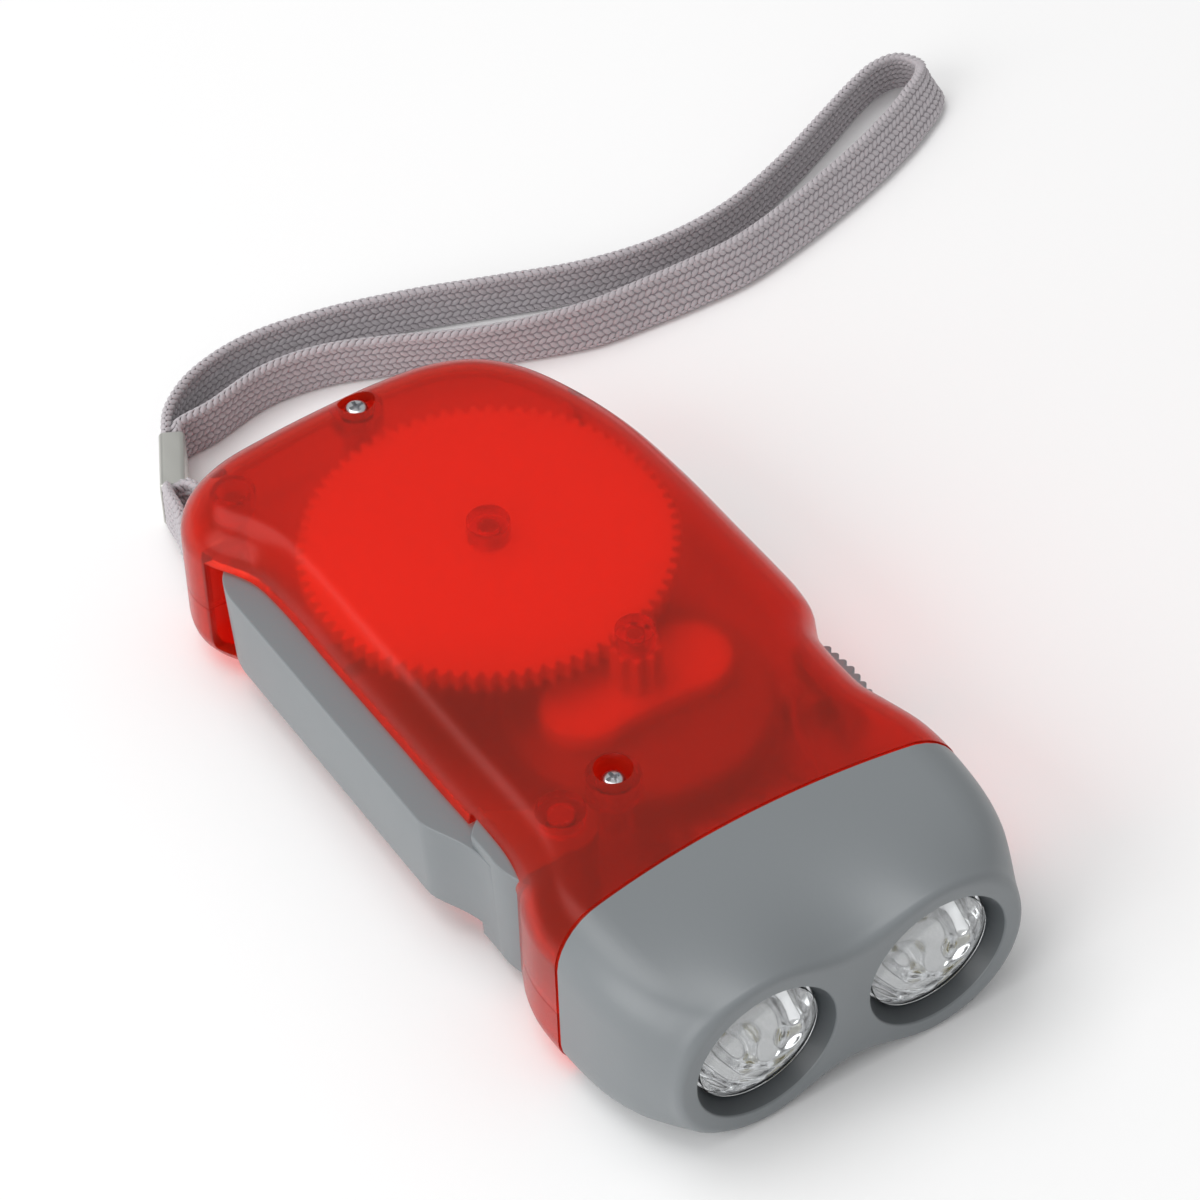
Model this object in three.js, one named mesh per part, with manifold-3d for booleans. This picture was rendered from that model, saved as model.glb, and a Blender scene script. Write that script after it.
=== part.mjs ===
// Squeeze-lever dynamo torch: two translucent housing halves around a gear train and a
// magnet rotor, a grey twin-lamp head, a hinged side lever, a slide switch and a wrist strap.
// Millimetres, +Z up. The head points along -Y, the lever is on -X and the switch on +X.
// The origin is the middle of the flat underside of the torch without its strap.

import * as THREE from 'three';
import { mergeVertices } from 'three/addons/utils/BufferGeometryUtils.js';
import Module from 'manifold-3d';

const wasm = await Module();
wasm.setup();

// Housing, with the room that it leaves around what it holds
const splitHeight = 11;
const wall = 1.5;
const filletRadius = 6;
const seamGap = 0.12;
const partGap = 0.3;
const overrun = 2;
const jointReachShare = 1.5;
const gearSideRoom = 1.2;
const gearRearRoom = 6.2;
const gearHeadroom = 3.1;
const jointRoom = 0.7;

// Joint between the housing and the head: an arc seen from above
const jointSag = 3.2;

// Head and lamps
const headLength = 21.8;
const lampSpacing = 23.4;
const lampHoleRadius = 9.4;
const lampSeatRadius = 8.3;
const lampRim = 2.6;
const lampWaist = 2.9;
const headWall = 1.9;
const faceDepth = 2.7;
const faceEdge = 0.9;
const lensThickness = 1.3;
const lensCrown = 0.9;
const reflectorDepth = 8.2;
const reflectorWall = 0.7;
const bowlShares = [0, 0.15, 0.5, 1];
const crownShares = [0.66, 0.33, 0];
const ledRadius = 2.5;
const ledBody = 4.6;
const ledFlange = 0.5;
const domeDegs = [30, 60, 90];
const boardThickness = 1.2;
const boardHeight = 13;
const boardEnd = 10.3;
const spigotLength = 2.2;
const spigotWall = 1.2;

// Lever
const leverOpenDeg = 18;
const pivot = new THREE.Vector2(-16.3, -19.7);
const leverLow = 5;
const leverHeadroom = 4.4;
const leverRoom = 1.5;
const leverTipInset = 14.4;
const leverDepth = 5.4;
const leverToe = 6;
const leverBend = 2.7;
const leverWall = 1.6;
const leverRib = 1.2;
const leverRibCount = 5;
const neckRadius = 9.2;
const neckShares = [[-1, 0.53], [-0.905, 0.64], [-0.8, 0.725], [-0.6, 0.75]];
const notchReach = 7.5;
const neckLow = 2.4;
const neckHeadroom = 2.6;
const barrelRadius = 4.2;
const barrelLow = 6.8;
const leverPinRadius = 1.5;
const leverGap = 0.7;
const neckBlendDeg = 173;
const neckEndDeg = 209;
const webStartDeg = 110;
const webEndDeg = 250;
const springWire = 0.35;
const springTurns = 3;
const springFacets = 8;
const springLegShare = 3;
const springStepShare = 1.3;
const windowRoomBelow = 1;
const windowRoomAbove = 0.5;

// Gear train: the lever's toothed arc drives a pinion under the big gear,
// and the big gear drives the pinion on the rotor
const pressureDeg = 25;
const addendumShare = 0.8;
const dedendumShare = 1.05;
const backlash = 0.12;
const fineTeeth = 40;
const arcModule = 0.8;
const arcTeeth = 109;
const pinionTeeth = 10;
const gearModule = 0.6;
const gearTeeth = 76;
const rotorPinionTeeth = 9;
const gearDirectionDeg = 67.9;
const rotorDirectionDeg = -79.4;
const arcThickness = 2.6;
const arcBand = 4.2;
const arcEndDeg = 106;
const spareTeeth = 2;
const gearLift = 0.4;
const gearThickness = 2.4;
const gearWebDepth = 0.7;
const gearRimWidth = 3.4;
const gearHubRadius = 5.2;
const gearAxleRadius = 1.25;
const rotorAxleRadius = 1;
const runningGap = 0.15;

// Rotor and stator
const rotorRadius = 16.5;
const rotorRimWidth = 3;
const rotorCrown = 2;
const lobeReach = 12.7;
const lobeRadius = 5.4;
const lobeWaist = 9.8;
const lobeThickness = 2.7;
const magnetThickness = 2.8;
const magnetHeight = 5;
const bobbinCoreShare = 0.45;
const bobbinLift = 2.1;
const bobbinHeight = 4.4;
const flange = 0.7;
const poleThickness = 0.7;
const poleRoom = 1.6;
const clawLength = 1.4;
const poleCount = 8;
const poleWidthShare = 0.26;
const poleRootShare = 1.3;
const guardRoom = 0.9;
const guardWall = 1;
const guardHeight = 6;
const leadOpeningDeg = 229;
const leadOpeningWidth = 4;

// Screws and bosses
const rearScrewX = -1.1;
const rearScrewInset = 4.7;
const frontScrewOffset = new THREE.Vector2(7.9, 1.2);
const rearWellDepth = 1;
const frontWellDepth = 1.5;
const screwHeadRadius = 1.5;
const screwHeadHeight = 1.3;
const screwShankRadius = 0.8;
const screwLength = 14;
const recessRadius = 2.35;
const bossWall = 0.95;
const pegPlaceShares = [[0.84, 0.693], [-0.75, 0.906]];
const pegRadii = [1.4, 0.9];
const narrowBossShare = 1.3;
const axleBossShare = 1.5;
const screwTipShare = 0.3;
const screwCrownShare = 0.7;
const screwSlotShare = 0.55;
const slotWidth = 0.7;
const slotDepth = 0.6;

// Cells
const cellRadius = 5.8;
const cellLength = 5.2;
const cellCount = 3;
const cellsStartX = -3;
const cellRoom = 1.44;
const cellLift = 1.1;
const contactThickness = 0.4;
const cradleWall = 1;
const cradleReach = 3.9;
const cradleShares = [0.2, 0.8];
const cellEdgeShare = 0.12;
const cellFacets = 18;
const contactWidthShare = 0.7;
const contactHeightShare = 0.8;

// Slide switch
const switchRoom = 0.61;
const switchTravel = 2;
const switchMiddleZ = 12;
const switchHeight = 7.6;
const knobLength = 9.9;
const knobHeight = 2.3;
const knurlCount = 7;
const knurlDepth = 0.55;
const knurlGapShare = 0.1;
const knurlFallShare = 0.25;
const plateLength = 11.4;
const plateInset = 1.4;
const plateThickness = 2.4;
const stemWidth = 2.4;
const switchBodyDepth = 2.4;
const switchBodyLength = 4.6;
const switchBodyHeight = 6.4;

// Strap
const strapWidth = 7;
const strapThickness = 1.3;
const strapLift = 0.2;
const strandGap = 0.1;
const crimpLength = 9.6;
const crimpWall = 0.3;
const crimpRear = new THREE.Vector2(-15.15, 75.25);
const crimpTurnDeg = -28.4;
const postX = -21.2;
const postInset = 9.1;
const postRadius = 1.4;
const slotOffset = 0.2;
const tailLift = 3.2;
const strapSlotWidth = 7.6;
const strapEdgeShare = 0.25;
const strandLeadShare = 1.5;
const riseShare = 6;

// Wires between the coil, the cells and the lamp board
const wireRadius = 0.45;
const wireSides = 6;
const wireSteps = 16;

// Shift that puts the origin in the middle of the torch
const originX = 0.3;
const originY = -0.4;

// Facet counts
const roundFacets = 22;
const smallFacets = 12;
const outlineFacets = 64;
const filletSteps = 4;
const innerSteps = 2;
const endSteps = 10;
const rowSteps = 7;
const jointSteps = 12;
const arcSteps = 12;
const knurlSteps = 3;
const gripSteps = 6;
const springSides = 5;
const loopSteps = 66;
const tailSteps = 22;

const rad = THREE.MathUtils.degToRad;

function polar(center, radius, deg) {
  return new THREE.Vector2(Math.cos(rad(deg)), Math.sin(rad(deg))).multiplyScalar(radius).add(center);
}

const gearRadius = gearModule * gearTeeth / 2;
const rotorPinionRadius = gearModule * rotorPinionTeeth / 2;
const arcRadius = arcModule * arcTeeth / 2;
const pinionRadius = arcModule * pinionTeeth / 2;
const gearPlace = polar(pivot, arcRadius + pinionRadius, gearDirectionDeg);
const rotorPlace = polar(gearPlace, gearRadius + rotorPinionRadius, rotorDirectionDeg);

// Layers from the floor up: coil, rotor crown, hub, toothed arc, big gear, ceiling
const bobbinLow = wall + bobbinLift;
const rotorCrownLow = bobbinLow + bobbinHeight + poleThickness + partGap / 3 + 2 * partGap;
const rotorHigh = rotorCrownLow + rotorCrown;
const arcLow = rotorHigh + partGap / 3 + lobeThickness + partGap;
const gearLow = arcLow + arcThickness + gearLift;
const gearTopZ = gearLow + gearThickness;
const ceiling = gearTopZ + gearHeadroom;
const height = ceiling + wall;
const middleZ = height / 2;

// Housing sizes from the gear train and the cells, and the places that follow them
const gearTip = gearRadius + addendumShare * gearModule;
const guardRadius = rotorRadius + guardRoom;
const halfWidth = gearPlace.x + gearTip + gearSideRoom + wall;
const rearReach = gearPlace.y + gearTip + gearRearRoom + wall;
const cellAxisY = rotorPlace.y - guardRadius - guardWall - cellRoom - cellRadius;
const cellAxisZ = wall + cellRadius + cellLift;
const jointMiddleY = cellAxisY - cellRadius - jointRoom;
const frontReach = headLength - jointMiddleY;
const leverOuterX = gearPlace.x - gearTip - leverRoom - leverDepth;
const leverTipY = rearReach - leverTipInset;
const leverHigh = ceiling - leverHeadroom;
const neckHigh = ceiling - neckHeadroom;
const windowLow = leverLow - windowRoomBelow;
const windowHigh = leverHigh + windowRoomAbove;
const rearScrew = new THREE.Vector2(rearScrewX, rearReach - rearScrewInset);
const frontScrew = pivot.clone().add(frontScrewOffset);
const rearHeadZ = height - rearWellDepth;
const frontHeadZ = height - frontWellDepth;
const plateOuterX = halfWidth - plateInset;
const knobReach = plateOuterX + knobHeight;
const postPlace = new THREE.Vector2(postX, rearReach - postInset);
const strapSlotX = postX - slotOffset;
const boardWidth = lampSpacing + 2 * boardEnd;
const poleRadius = rotorRadius - rotorRimWidth - partGap / 3 - magnetThickness - poleRoom;
const coilRadius = poleRadius - clawLength;
const bobbinCore = coilRadius * bobbinCoreShare;

// The contact block's rear inner corner clears the rotor's edge
const blockHighX = plateOuterX - plateThickness - wall - 2 * partGap;
const blockReach = Math.max(0, blockHighX - switchBodyDepth - rotorPlace.x);
const blockDrop = Math.sqrt(Math.max(0, (rotorRadius + switchRoom) ** 2 - blockReach ** 2));
const switchY = rotorPlace.y - blockDrop - switchBodyLength / 2;

// Solids: closed geometries go through these to be joined and cut

function solid(geometry) {
  const bare = geometry.clone();
  bare.deleteAttribute('normal');
  bare.deleteAttribute('uv');
  const merged = mergeVertices(bare, 1e-5);
  return new wasm.Manifold(new wasm.Mesh({
    numProp: 3,
    vertProperties: new Float32Array(merged.attributes.position.array),
    triVerts: new Uint32Array(merged.index.array),
  }));
}

function geometryOf(body) {
  const mesh = body.getMesh();
  const geometry = new THREE.BufferGeometry();
  geometry.setAttribute('position', new THREE.BufferAttribute(new Float32Array(mesh.vertProperties), 3));
  geometry.setIndex(Array.from(mesh.triVerts));
  geometry.computeVertexNormals();
  return geometry;
}

function joined(...bodies) {
  return bodies.reduce((whole, body) => whole.add(body));
}

function cut(body, ...tools) {
  return tools.reduce((rest, tool) => rest.subtract(tool), body);
}

// Plates and rods

function plate(shape, low, high, steps = roundFacets) {
  const geometry = new THREE.ExtrudeGeometry(shape, { depth: high - low, bevelEnabled: false,
    curveSegments: steps });
  return geometry.translate(0, 0, low);
}

function rod(place, radius, low, high, facets = smallFacets) {
  const geometry = new THREE.CylinderGeometry(radius, radius, high - low, facets).rotateX(Math.PI / 2);
  return geometry.translate(place.x, place.y, (low + high) / 2);
}

function block(lowX, highX, lowY, highY, lowZ, highZ) {
  const geometry = new THREE.BoxGeometry(highX - lowX, highY - lowY, highZ - lowZ);
  return geometry.translate((lowX + highX) / 2, (lowY + highY) / 2, (lowZ + highZ) / 2);
}

function shapeOf(points) {
  return new THREE.Shape(points);
}

function turned(profile, facets = roundFacets) {
  return new THREE.LatheGeometry(profile.map(([r, z]) => new THREE.Vector2(r, z)),
    facets).rotateX(Math.PI / 2);
}

// A ring of tube between two radii
function collar(place, inner, outer, low, high, facets = roundFacets) {
  return cut(solid(rod(place, outer, low, high, facets)),
    solid(rod(place, inner, low - overrun, high + overrun, facets)));
}

// A closed body through rings of equally many points, from the first ring to the last,
// each end closed by a fan from its middle
function lofted(rings) {
  const count = rings[0].length;
  const points = rings.flat();
  const index = [];
  for (let ring = 0; ring + 1 < rings.length; ring += 1) {
    for (let i = 0; i < count; i += 1) {
      const next = (i + 1) % count;
      const a = ring * count + i;
      const b = ring * count + next;
      index.push(a, b, b + count, a, b + count, a + count);
    }
  }
  const fan = (ring, offset, flip) => {
    const middle = points.length;
    points.push(ring.reduce((sum, point) => sum.add(point), new THREE.Vector3()).divideScalar(count));
    for (let i = 0; i < count; i += 1) {
      const a = offset + i;
      const b = offset + (i + 1) % count;
      index.push(...(flip ? [middle, b, a] : [middle, a, b]));
    }
  };
  fan(rings[0], 0, true);
  fan(rings[rings.length - 1], (rings.length - 1) * count, false);
  const geometry = new THREE.BufferGeometry().setFromPoints(points);
  return geometry.setIndex(index);
}

// Housing outline seen from above, counter-clockwise from the right of the joint.
// x is a share of the half width, y a share of the rear reach, or below zero of the joint's reach.
const outlineShares = [
  [1, -1.432], [1, -1.165], [1, -0.999], [0.985, -0.899], [0.94, -0.766], [0.905, -0.666], [0.898, -0.566],
  [0.9, -0.449], [0.91, -0.366], [0.945, -0.3], [0.985, -0.233], [1.005, -0.133], [1.008, 0],
  [1.005, 0.15], [1, 0.35], [0.968, 0.55], [0.885, 0.72], [0.77, 0.85], [0.61, 0.935], [0.4, 0.982],
  [0.15, 0.998], [-0.15, 0.998], [-0.45, 0.99], [-0.72, 0.972], [-0.91, 0.93], [-1.015, 0.87],
  [-1.05, 0.8], [-1.02, 0.738], [-0.953, 0.68], [-0.912, 0.63], [-0.895, 0.55], [-0.89, 0.3],
  [-0.885, 0.05], [-0.884, -0.166], [-0.88, -0.333], [-0.878, -0.499], [-0.885, -0.616], [-0.915, -0.732],
  [-0.968, -0.832], [-1, -0.949], [-1, -1.165], [-1, -1.432],
];

function outlinePoint([xShare, yShare]) {
  return new THREE.Vector3(xShare * halfWidth, yShare * (yShare < 0 ? -jointMiddleY : rearReach), 0);
}

const housingCurve = new THREE.CatmullRomCurve3(outlineShares.map(outlinePoint), true, 'centripetal');
const housingOutline = housingCurve.getSpacedPoints(outlineFacets).slice(0, outlineFacets);

// The outline drawn in by a distance, each point along its own normal, at a height
function insetOutline(outline, distance, z) {
  return outline.map((point, i) => {
    const before = outline[(i + outline.length - 1) % outline.length];
    const after = outline[(i + 1) % outline.length];
    const along = after.clone().sub(before).normalize();
    return new THREE.Vector3(point.x - along.y * distance, point.y + along.x * distance, z);
  });
}

// A body with upright sides and a round edge at its top (way 1) or its bottom (way -1)
function roundedSlab(outline, inset, startZ, faceZ, radius, way, steps = filletSteps) {
  const rings = [insetOutline(outline, inset, startZ)];
  for (let step = 0; step <= steps; step += 1) {
    const angle = rad(90 * step / steps);
    const z = faceZ - way * radius * (1 - Math.sin(angle));
    rings.push(insetOutline(outline, inset + radius * (1 - Math.cos(angle)), z));
  }
  return solid(lofted(way > 0 ? rings : rings.reverse()));
}

// Everything in front of the joint arc, moved by an offset towards the rear
function jointZone(offset) {
  const reach = halfWidth * jointReachShare;
  const endY = jointMiddleY - jointSag * (reach / halfWidth) ** 2 + offset;
  const shape = new THREE.Shape();
  shape.moveTo(-reach, -2 * frontReach);
  shape.lineTo(reach, -2 * frontReach);
  shape.lineTo(reach, endY);
  shape.quadraticCurveTo(0, 2 * (jointMiddleY + offset) - endY, -reach, endY);
  return solid(plate(shape, -overrun, height + overrun, jointSteps));
}

// The opening that the lever and its toothed arc work in
function leverWindow() {
  return solid(block(-2 * halfWidth, pivot.x - barrelRadius + leverGap, pivot.y - neckRadius / 2,
    leverTipY + leverGap,
    windowLow, windowHigh));
}

// Round notch in the side of both halves for the lever's neck
function neckNotch() {
  const low = neckLow - leverGap;
  const high = neckHigh + leverGap / 2;
  const innerX = pivot.x - barrelRadius;
  const round = solid(rod(pivot, neckRadius + leverGap / 2, low, high, roundFacets));
  const side = solid(block(-2 * halfWidth, innerX, -frontReach, rearReach, -overrun, height));
  const corner = solid(block(-2 * halfWidth, innerX, pivot.y, pivot.y + notchReach, low, high));
  return joined(round.intersect(side), corner);
}

function switchWindow() {
  const halfLength = plateLength / 2 - wall;
  return solid(block(halfWidth / 2, 2 * halfWidth, switchY - halfLength, switchY + halfLength,
    switchMiddleZ - switchHeight / 2 + wall, switchMiddleZ + switchHeight / 2 - wall));
}

function plateSeat() {
  return solid(block(plateOuterX - plateThickness - partGap / 2, 2 * halfWidth,
    switchY - plateLength / 2 - partGap / 2,
    switchY + plateLength / 2 + partGap / 2, switchMiddleZ - switchHeight / 2 - partGap / 2,
    switchMiddleZ + switchHeight / 2 + partGap / 2));
}

function topShell() {
  const outer = roundedSlab(housingOutline, 0, splitHeight, height, filletRadius, 1);
  let body = outer;
  const cavity = roundedSlab(housingOutline, wall, splitHeight - overrun, ceiling, filletRadius - wall, 1,
    innerSteps);
  body = cut(body, cavity);
  const pinTop = ceiling - wall;
  const gearTop = gearLow + gearThickness + partGap;
  const narrow = screwShankRadius + narrowBossShare * bossWall;
  const bosses = [
    solid(rod(rearScrew, recessRadius + bossWall, gearTop, ceiling + overrun / 2)),
    solid(rod(rearScrew, narrow, splitHeight + overrun, ceiling)),
    solid(rod(frontScrew, recessRadius + bossWall, frontHeadZ - screwHeadHeight - 2 * bossWall,
      ceiling + overrun / 2)),
    solid(rod(frontScrew, narrow, splitHeight + overrun, ceiling)),
    solid(rod(pivot, leverPinRadius + axleBossShare * bossWall, neckHigh + 2 * partGap,
      ceiling + wall / 2)),
    solid(rod(gearPlace, gearAxleRadius + axleBossShare * bossWall, gearTop, ceiling + wall / 2)),
    solid(rod(rotorPlace, rotorAxleRadius + axleBossShare * bossWall, gearTop, ceiling + wall / 2)),
  ];
  body = joined(body, ...bosses);
  const holes = [
    solid(rod(rearScrew, recessRadius, rearHeadZ - screwHeadHeight, height + overrun, roundFacets)),
    solid(rod(frontScrew, recessRadius, frontHeadZ - screwHeadHeight, height + overrun, roundFacets)),
    solid(rod(rearScrew, screwShankRadius + partGap / 2, splitHeight, height)),
    solid(rod(frontScrew, screwShankRadius + partGap / 2, splitHeight, height)),
    solid(rod(pivot, leverPinRadius + partGap / 2, neckHigh - overrun, pinTop + partGap)),
    solid(rod(gearPlace, gearAxleRadius + runningGap, gearLow, pinTop + partGap)),
    solid(rod(rotorPlace, rotorAxleRadius + runningGap, gearLow, pinTop + partGap)),
  ];
  const fillers = pegPlaceShares.map(([xShare, yShare], i) => {
    const place = new THREE.Vector2(xShare * halfWidth, yShare * rearReach);
    return solid(rod(place, pegRadii[i], splitHeight, ceiling + wall / 2));
  });
  body = joined(body, joined(pocketWall(splitHeight, ceiling + wall / 2), ...fillers).intersect(outer));
  body = cut(body, ...holes, leverWindow(), neckNotch(), switchWindow(), plateSeat(), jointZone(0));
  return body;
}

// The wall that closes the strap corner off from the lever's pocket
function pocketWall(low, high) {
  const rearY = leverTipY + leverGap;
  return solid(block(-halfWidth, leverOuterX + leverDepth + 2 * leverGap, rearY, rearY + wall, low, high));
}

function bottomShell() {
  let body = roundedSlab(housingOutline, 0, splitHeight - seamGap, 0, filletRadius, -1);
  const cavity = roundedSlab(housingOutline, wall, splitHeight + overrun, wall, filletRadius - wall, -1,
    innerSteps);
  body = cut(body, cavity);
  const bossTop = splitHeight + overrun - partGap;
  const socketRadius = screwShankRadius + narrowBossShare * bossWall;
  const screwReach = screwHeadHeight + screwLength + overrun / 2;
  const bosses = [
    solid(rod(rearScrew, socketRadius, wall / 2, bossTop)),
    solid(rod(frontScrew, socketRadius, wall / 2, bossTop)),
    solid(rod(pivot, leverPinRadius + axleBossShare * bossWall, wall / 2, neckLow - leverGap + partGap)),
    solid(rod(gearPlace, gearAxleRadius + axleBossShare * bossWall, wall / 2, arcLow - 2 * partGap)),
    solid(rod(rotorPlace, rotorAxleRadius + axleBossShare * bossWall, wall / 2,
      bobbinLow - poleThickness - partGap)),
    solid(rod(postPlace, postRadius, wall / 2, ceiling - filletRadius / 4)),
    collar(rotorPlace, guardRadius, guardRadius + guardWall, wall / 2, wall + guardHeight,
      roundFacets + smallFacets),
    pocketWall(wall / 2, splitHeight - seamGap),
    cellCradle(),
  ];
  const holes = [
    solid(rod(rearScrew, screwShankRadius + seamGap, rearHeadZ - screwReach, height)),
    solid(rod(frontScrew, screwShankRadius + seamGap, frontHeadZ - screwReach, height)),
    solid(rod(pivot, leverPinRadius + partGap / 2, wall / 2, height)),
    solid(rod(gearPlace, gearAxleRadius + seamGap, wall, height)),
    solid(rod(rotorPlace, rotorAxleRadius + seamGap, wall / 2, height)),
    strapSlot(),
    leadOpening(),
  ];
  body = joined(body, joined(...bosses).intersect(roundedSlab(housingOutline, 0, height, 0, filletRadius,
    -1)));
  return cut(body, ...holes, leverWindow(), neckNotch(), switchWindow(), plateSeat(), jointZone(0));
}

function strapSlot() {
  return solid(block(strapSlotX - strapSlotWidth / 2, strapSlotX + strapSlotWidth / 2, rearReach - 5 * wall,
    rearReach + overrun, tailLift - partGap, tailLift + strapWidth + 2 * partGap));
}

// Opening in the guard ring under the rotor's edge for the coil lead
function leadOpening() {
  const middle = polar(rotorPlace, guardRadius, leadOpeningDeg);
  const half = leadOpeningWidth / 2;
  return solid(block(middle.x - half, middle.x + half, middle.y - half, middle.y + half, wall,
    wall + guardHeight / 2));
}

// Upright cheeks on the floor, hollowed to the cells
function cellCradle() {
  const endX = cellsStartX + cellCount * (cellLength + seamGap) + 2 * contactThickness;
  const high = cellAxisZ - cellRadius / 3;
  const length = endX - cellsStartX;
  const cheeks = cradleShares.map((share) => {
    const middle = cellsStartX + share * length;
    return solid(block(middle - cradleWall / 2, middle + cradleWall / 2, cellAxisY - cradleReach,
      cellAxisY + cradleReach, wall / 2, high));
  });
  const bed = new THREE.CylinderGeometry(cellRadius + partGap, cellRadius + partGap, 4 * length,
    roundFacets);
  bed.rotateZ(Math.PI / 2).translate(cellsStartX, cellAxisY, cellAxisZ);
  return cut(joined(...cheeks), solid(bed));
}

// Head: rings of points from a rounded box at the joint to two lobes at the face.
// A ring has a half circle of points at each end and a row between them above and below.
function headRing(y, halfW, halfH, corner, lobeShare, inset) {
  const lampX = lampSpacing / 2;
  const lobe = lampHoleRadius + lampRim - inset;
  const boxX = halfW - lampX;
  const cornerPoint = (angle) => {
    const c = Math.abs(Math.cos(angle));
    const s = Math.abs(Math.sin(angle));
    const flatX = boxX - corner;
    const flatZ = halfH - corner;
    if (s * boxX <= c * flatZ) return [boxX, boxX * s / c];
    if (c * halfH <= s * flatX) return [halfH * c / s, halfH];
    const along = c * flatX + s * flatZ;
    const reach = along + Math.sqrt(along * along - flatX * flatX - flatZ * flatZ + corner * corner);
    return [c * reach, s * reach];
  };
  const points = [];
  const end = (side) => {
    for (let i = 0; i <= endSteps; i += 1) {
      const angle = rad(-90 + 180 * i / endSteps);
      const [bx, bz] = cornerPoint(angle);
      const x = THREE.MathUtils.lerp(bx, lobe * Math.cos(angle), lobeShare);
      const z = THREE.MathUtils.lerp(bz * Math.sign(Math.sin(angle)), lobe * Math.sin(angle), lobeShare);
      points.push(new THREE.Vector3(side * (lampX + x), y, middleZ + side * z));
    }
  };
  const between = (side) => {
    for (let i = 1; i < rowSteps; i += 1) {
      const share = i / rowSteps;
      const dip = lampWaist * Math.sin(Math.PI * share) ** 2;
      const z = THREE.MathUtils.lerp(halfH, lobe - dip, lobeShare);
      points.push(new THREE.Vector3(side * lampX * (1 - 2 * share), y, middleZ + side * z));
    }
  };
  end(1);
  between(1);
  end(-1);
  between(-1);
  return points;
}

// Stations of the head from the joint to the face: [share of the way to the face, side draw-in,
// top draw-in, lobe share], the draw-ins in shares of the fillet radius
const headStationShares = [
  [0, 0, 0, 0], [0.3, 0.01, 0, 0.02], [0.52, 0.03, 0.01, 0.1], [0.7, 0.09, 0.02, 0.27],
  [0.83, 0.2, 0.03, 0.5], [0.93, 0.38, 0.05, 0.75], [0.985, 0.6, 0.07, 0.93], [1, 0.74, 0.09, 1],
];

function headLoft(startY, endY, inset, stations = headStationShares) {
  const rings = stations.map(([share, side, top, lobe], i) => {
    const atFace = i === headStationShares.length - 1 && inset === 0 ? faceEdge : 0;
    const y = THREE.MathUtils.lerp(startY, endY, share);
    return headRing(y, halfWidth - side * filletRadius - inset, middleZ - top * filletRadius - inset,
      filletRadius - inset, lobe, inset + atFace);
  });
  return solid(lofted(rings));
}

function lampHole(x) {
  const backY = frontReach - faceDepth;
  const flare = (lampHoleRadius - lampSeatRadius) / faceDepth;
  const profile = [[0, -overrun], [lampHoleRadius + overrun * flare, -overrun],
    [lampSeatRadius, faceDepth], [0, faceDepth]];
  const cone = turned(profile).rotateX(-Math.PI / 2);
  return solid(cone.translate(x, -frontReach, middleZ)).add(
    solid(disc(lampSeatRadius + partGap, -backY - overrun, -backY + overrun, x)));
}

// A disc across Y between two stations
function disc(radius, lowY, highY, x, z = middleZ, facets = roundFacets) {
  return new THREE.CylinderGeometry(radius, radius, highY - lowY, facets).translate(x, (lowY + highY) / 2,
    z);
}

function headBezel() {
  const startY = jointMiddleY + wall;
  let body = headLoft(startY, -frontReach, 0);
  const coarse = headStationShares.filter((station, i) => i % 2 === 0 || i === headStationShares.length - 1);
  const ends = [headStationShares[0], headStationShares[1]];
  const cavity = headLoft(startY + overrun, -frontReach + faceDepth, headWall, coarse);
  const collarBody = headLoft(startY + overrun, -frontReach, wall + partGap, ends);
  const collarHole = headLoft(startY + 2 * overrun, -frontReach, wall + partGap + spigotWall, ends);
  body = body.intersect(jointZone(-seamGap));
  const ring = cut(collarBody, collarHole);
  const spigot = ring.intersect(jointZone(spigotLength)).subtract(jointZone(-headWall));
  const joint = jointZone(-seamGap);
  body = cut(body, cavity);
  body = joined(body, spigot.subtract(joint.subtract(jointZone(-headWall - seamGap))), spigot);
  const lampX = lampSpacing / 2;
  return cut(body, lampHole(-lampX), lampHole(lampX), lensPocket(-lampX), lensPocket(lampX));
}

function lensPocket(x) {
  const frontY = -frontReach + faceDepth;
  return solid(disc(lampSeatRadius + partGap + lensThickness / 2, frontY - lensThickness,
    frontY + overrun, x));
}

// Lens: a clear disc with a low crown, seated behind the face
function lens(x) {
  const radius = lampSeatRadius + lensThickness / 2;
  const profile = [[0, 0], [radius, 0], [radius, lensThickness / 2],
    [lampSeatRadius - partGap, lensThickness]];
  for (const share of crownShares) {
    profile.push([lampSeatRadius * share, lensThickness + lensCrown * (1 - share * share)]);
  }
  const backY = -frontReach + faceDepth - partGap / 2 + lensThickness / 2;
  return turned(profile).rotateX(Math.PI / 2).translate(x, backY, middleZ);
}

// Reflector: a thin bowl, open at both ends, widest at the lens
function reflector(x) {
  const mouth = lampSeatRadius + partGap;
  const throat = ledRadius + partGap;
  const bowl = (share) => throat + (mouth - throat) * Math.sqrt(share);
  const inner = bowlShares.map((share) => [bowl(share), share * reflectorDepth]);
  const outer = bowlShares.map((share) => [bowl(share) + reflectorWall, share * reflectorDepth]).reverse();
  const profile = [...inner, ...outer, inner[0]];
  const backY = -frontReach + faceDepth + lensThickness / 2 + reflectorDepth;
  const bowlMesh = turned(profile.reverse()).rotateX(Math.PI / 2);
  return solid(bowlMesh.translate(x, backY, middleZ));
}

const reflectorBackY = -frontReach + faceDepth + lensThickness / 2 + reflectorDepth;
const boardFrontY = reflectorBackY + ledFlange + partGap;

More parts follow.
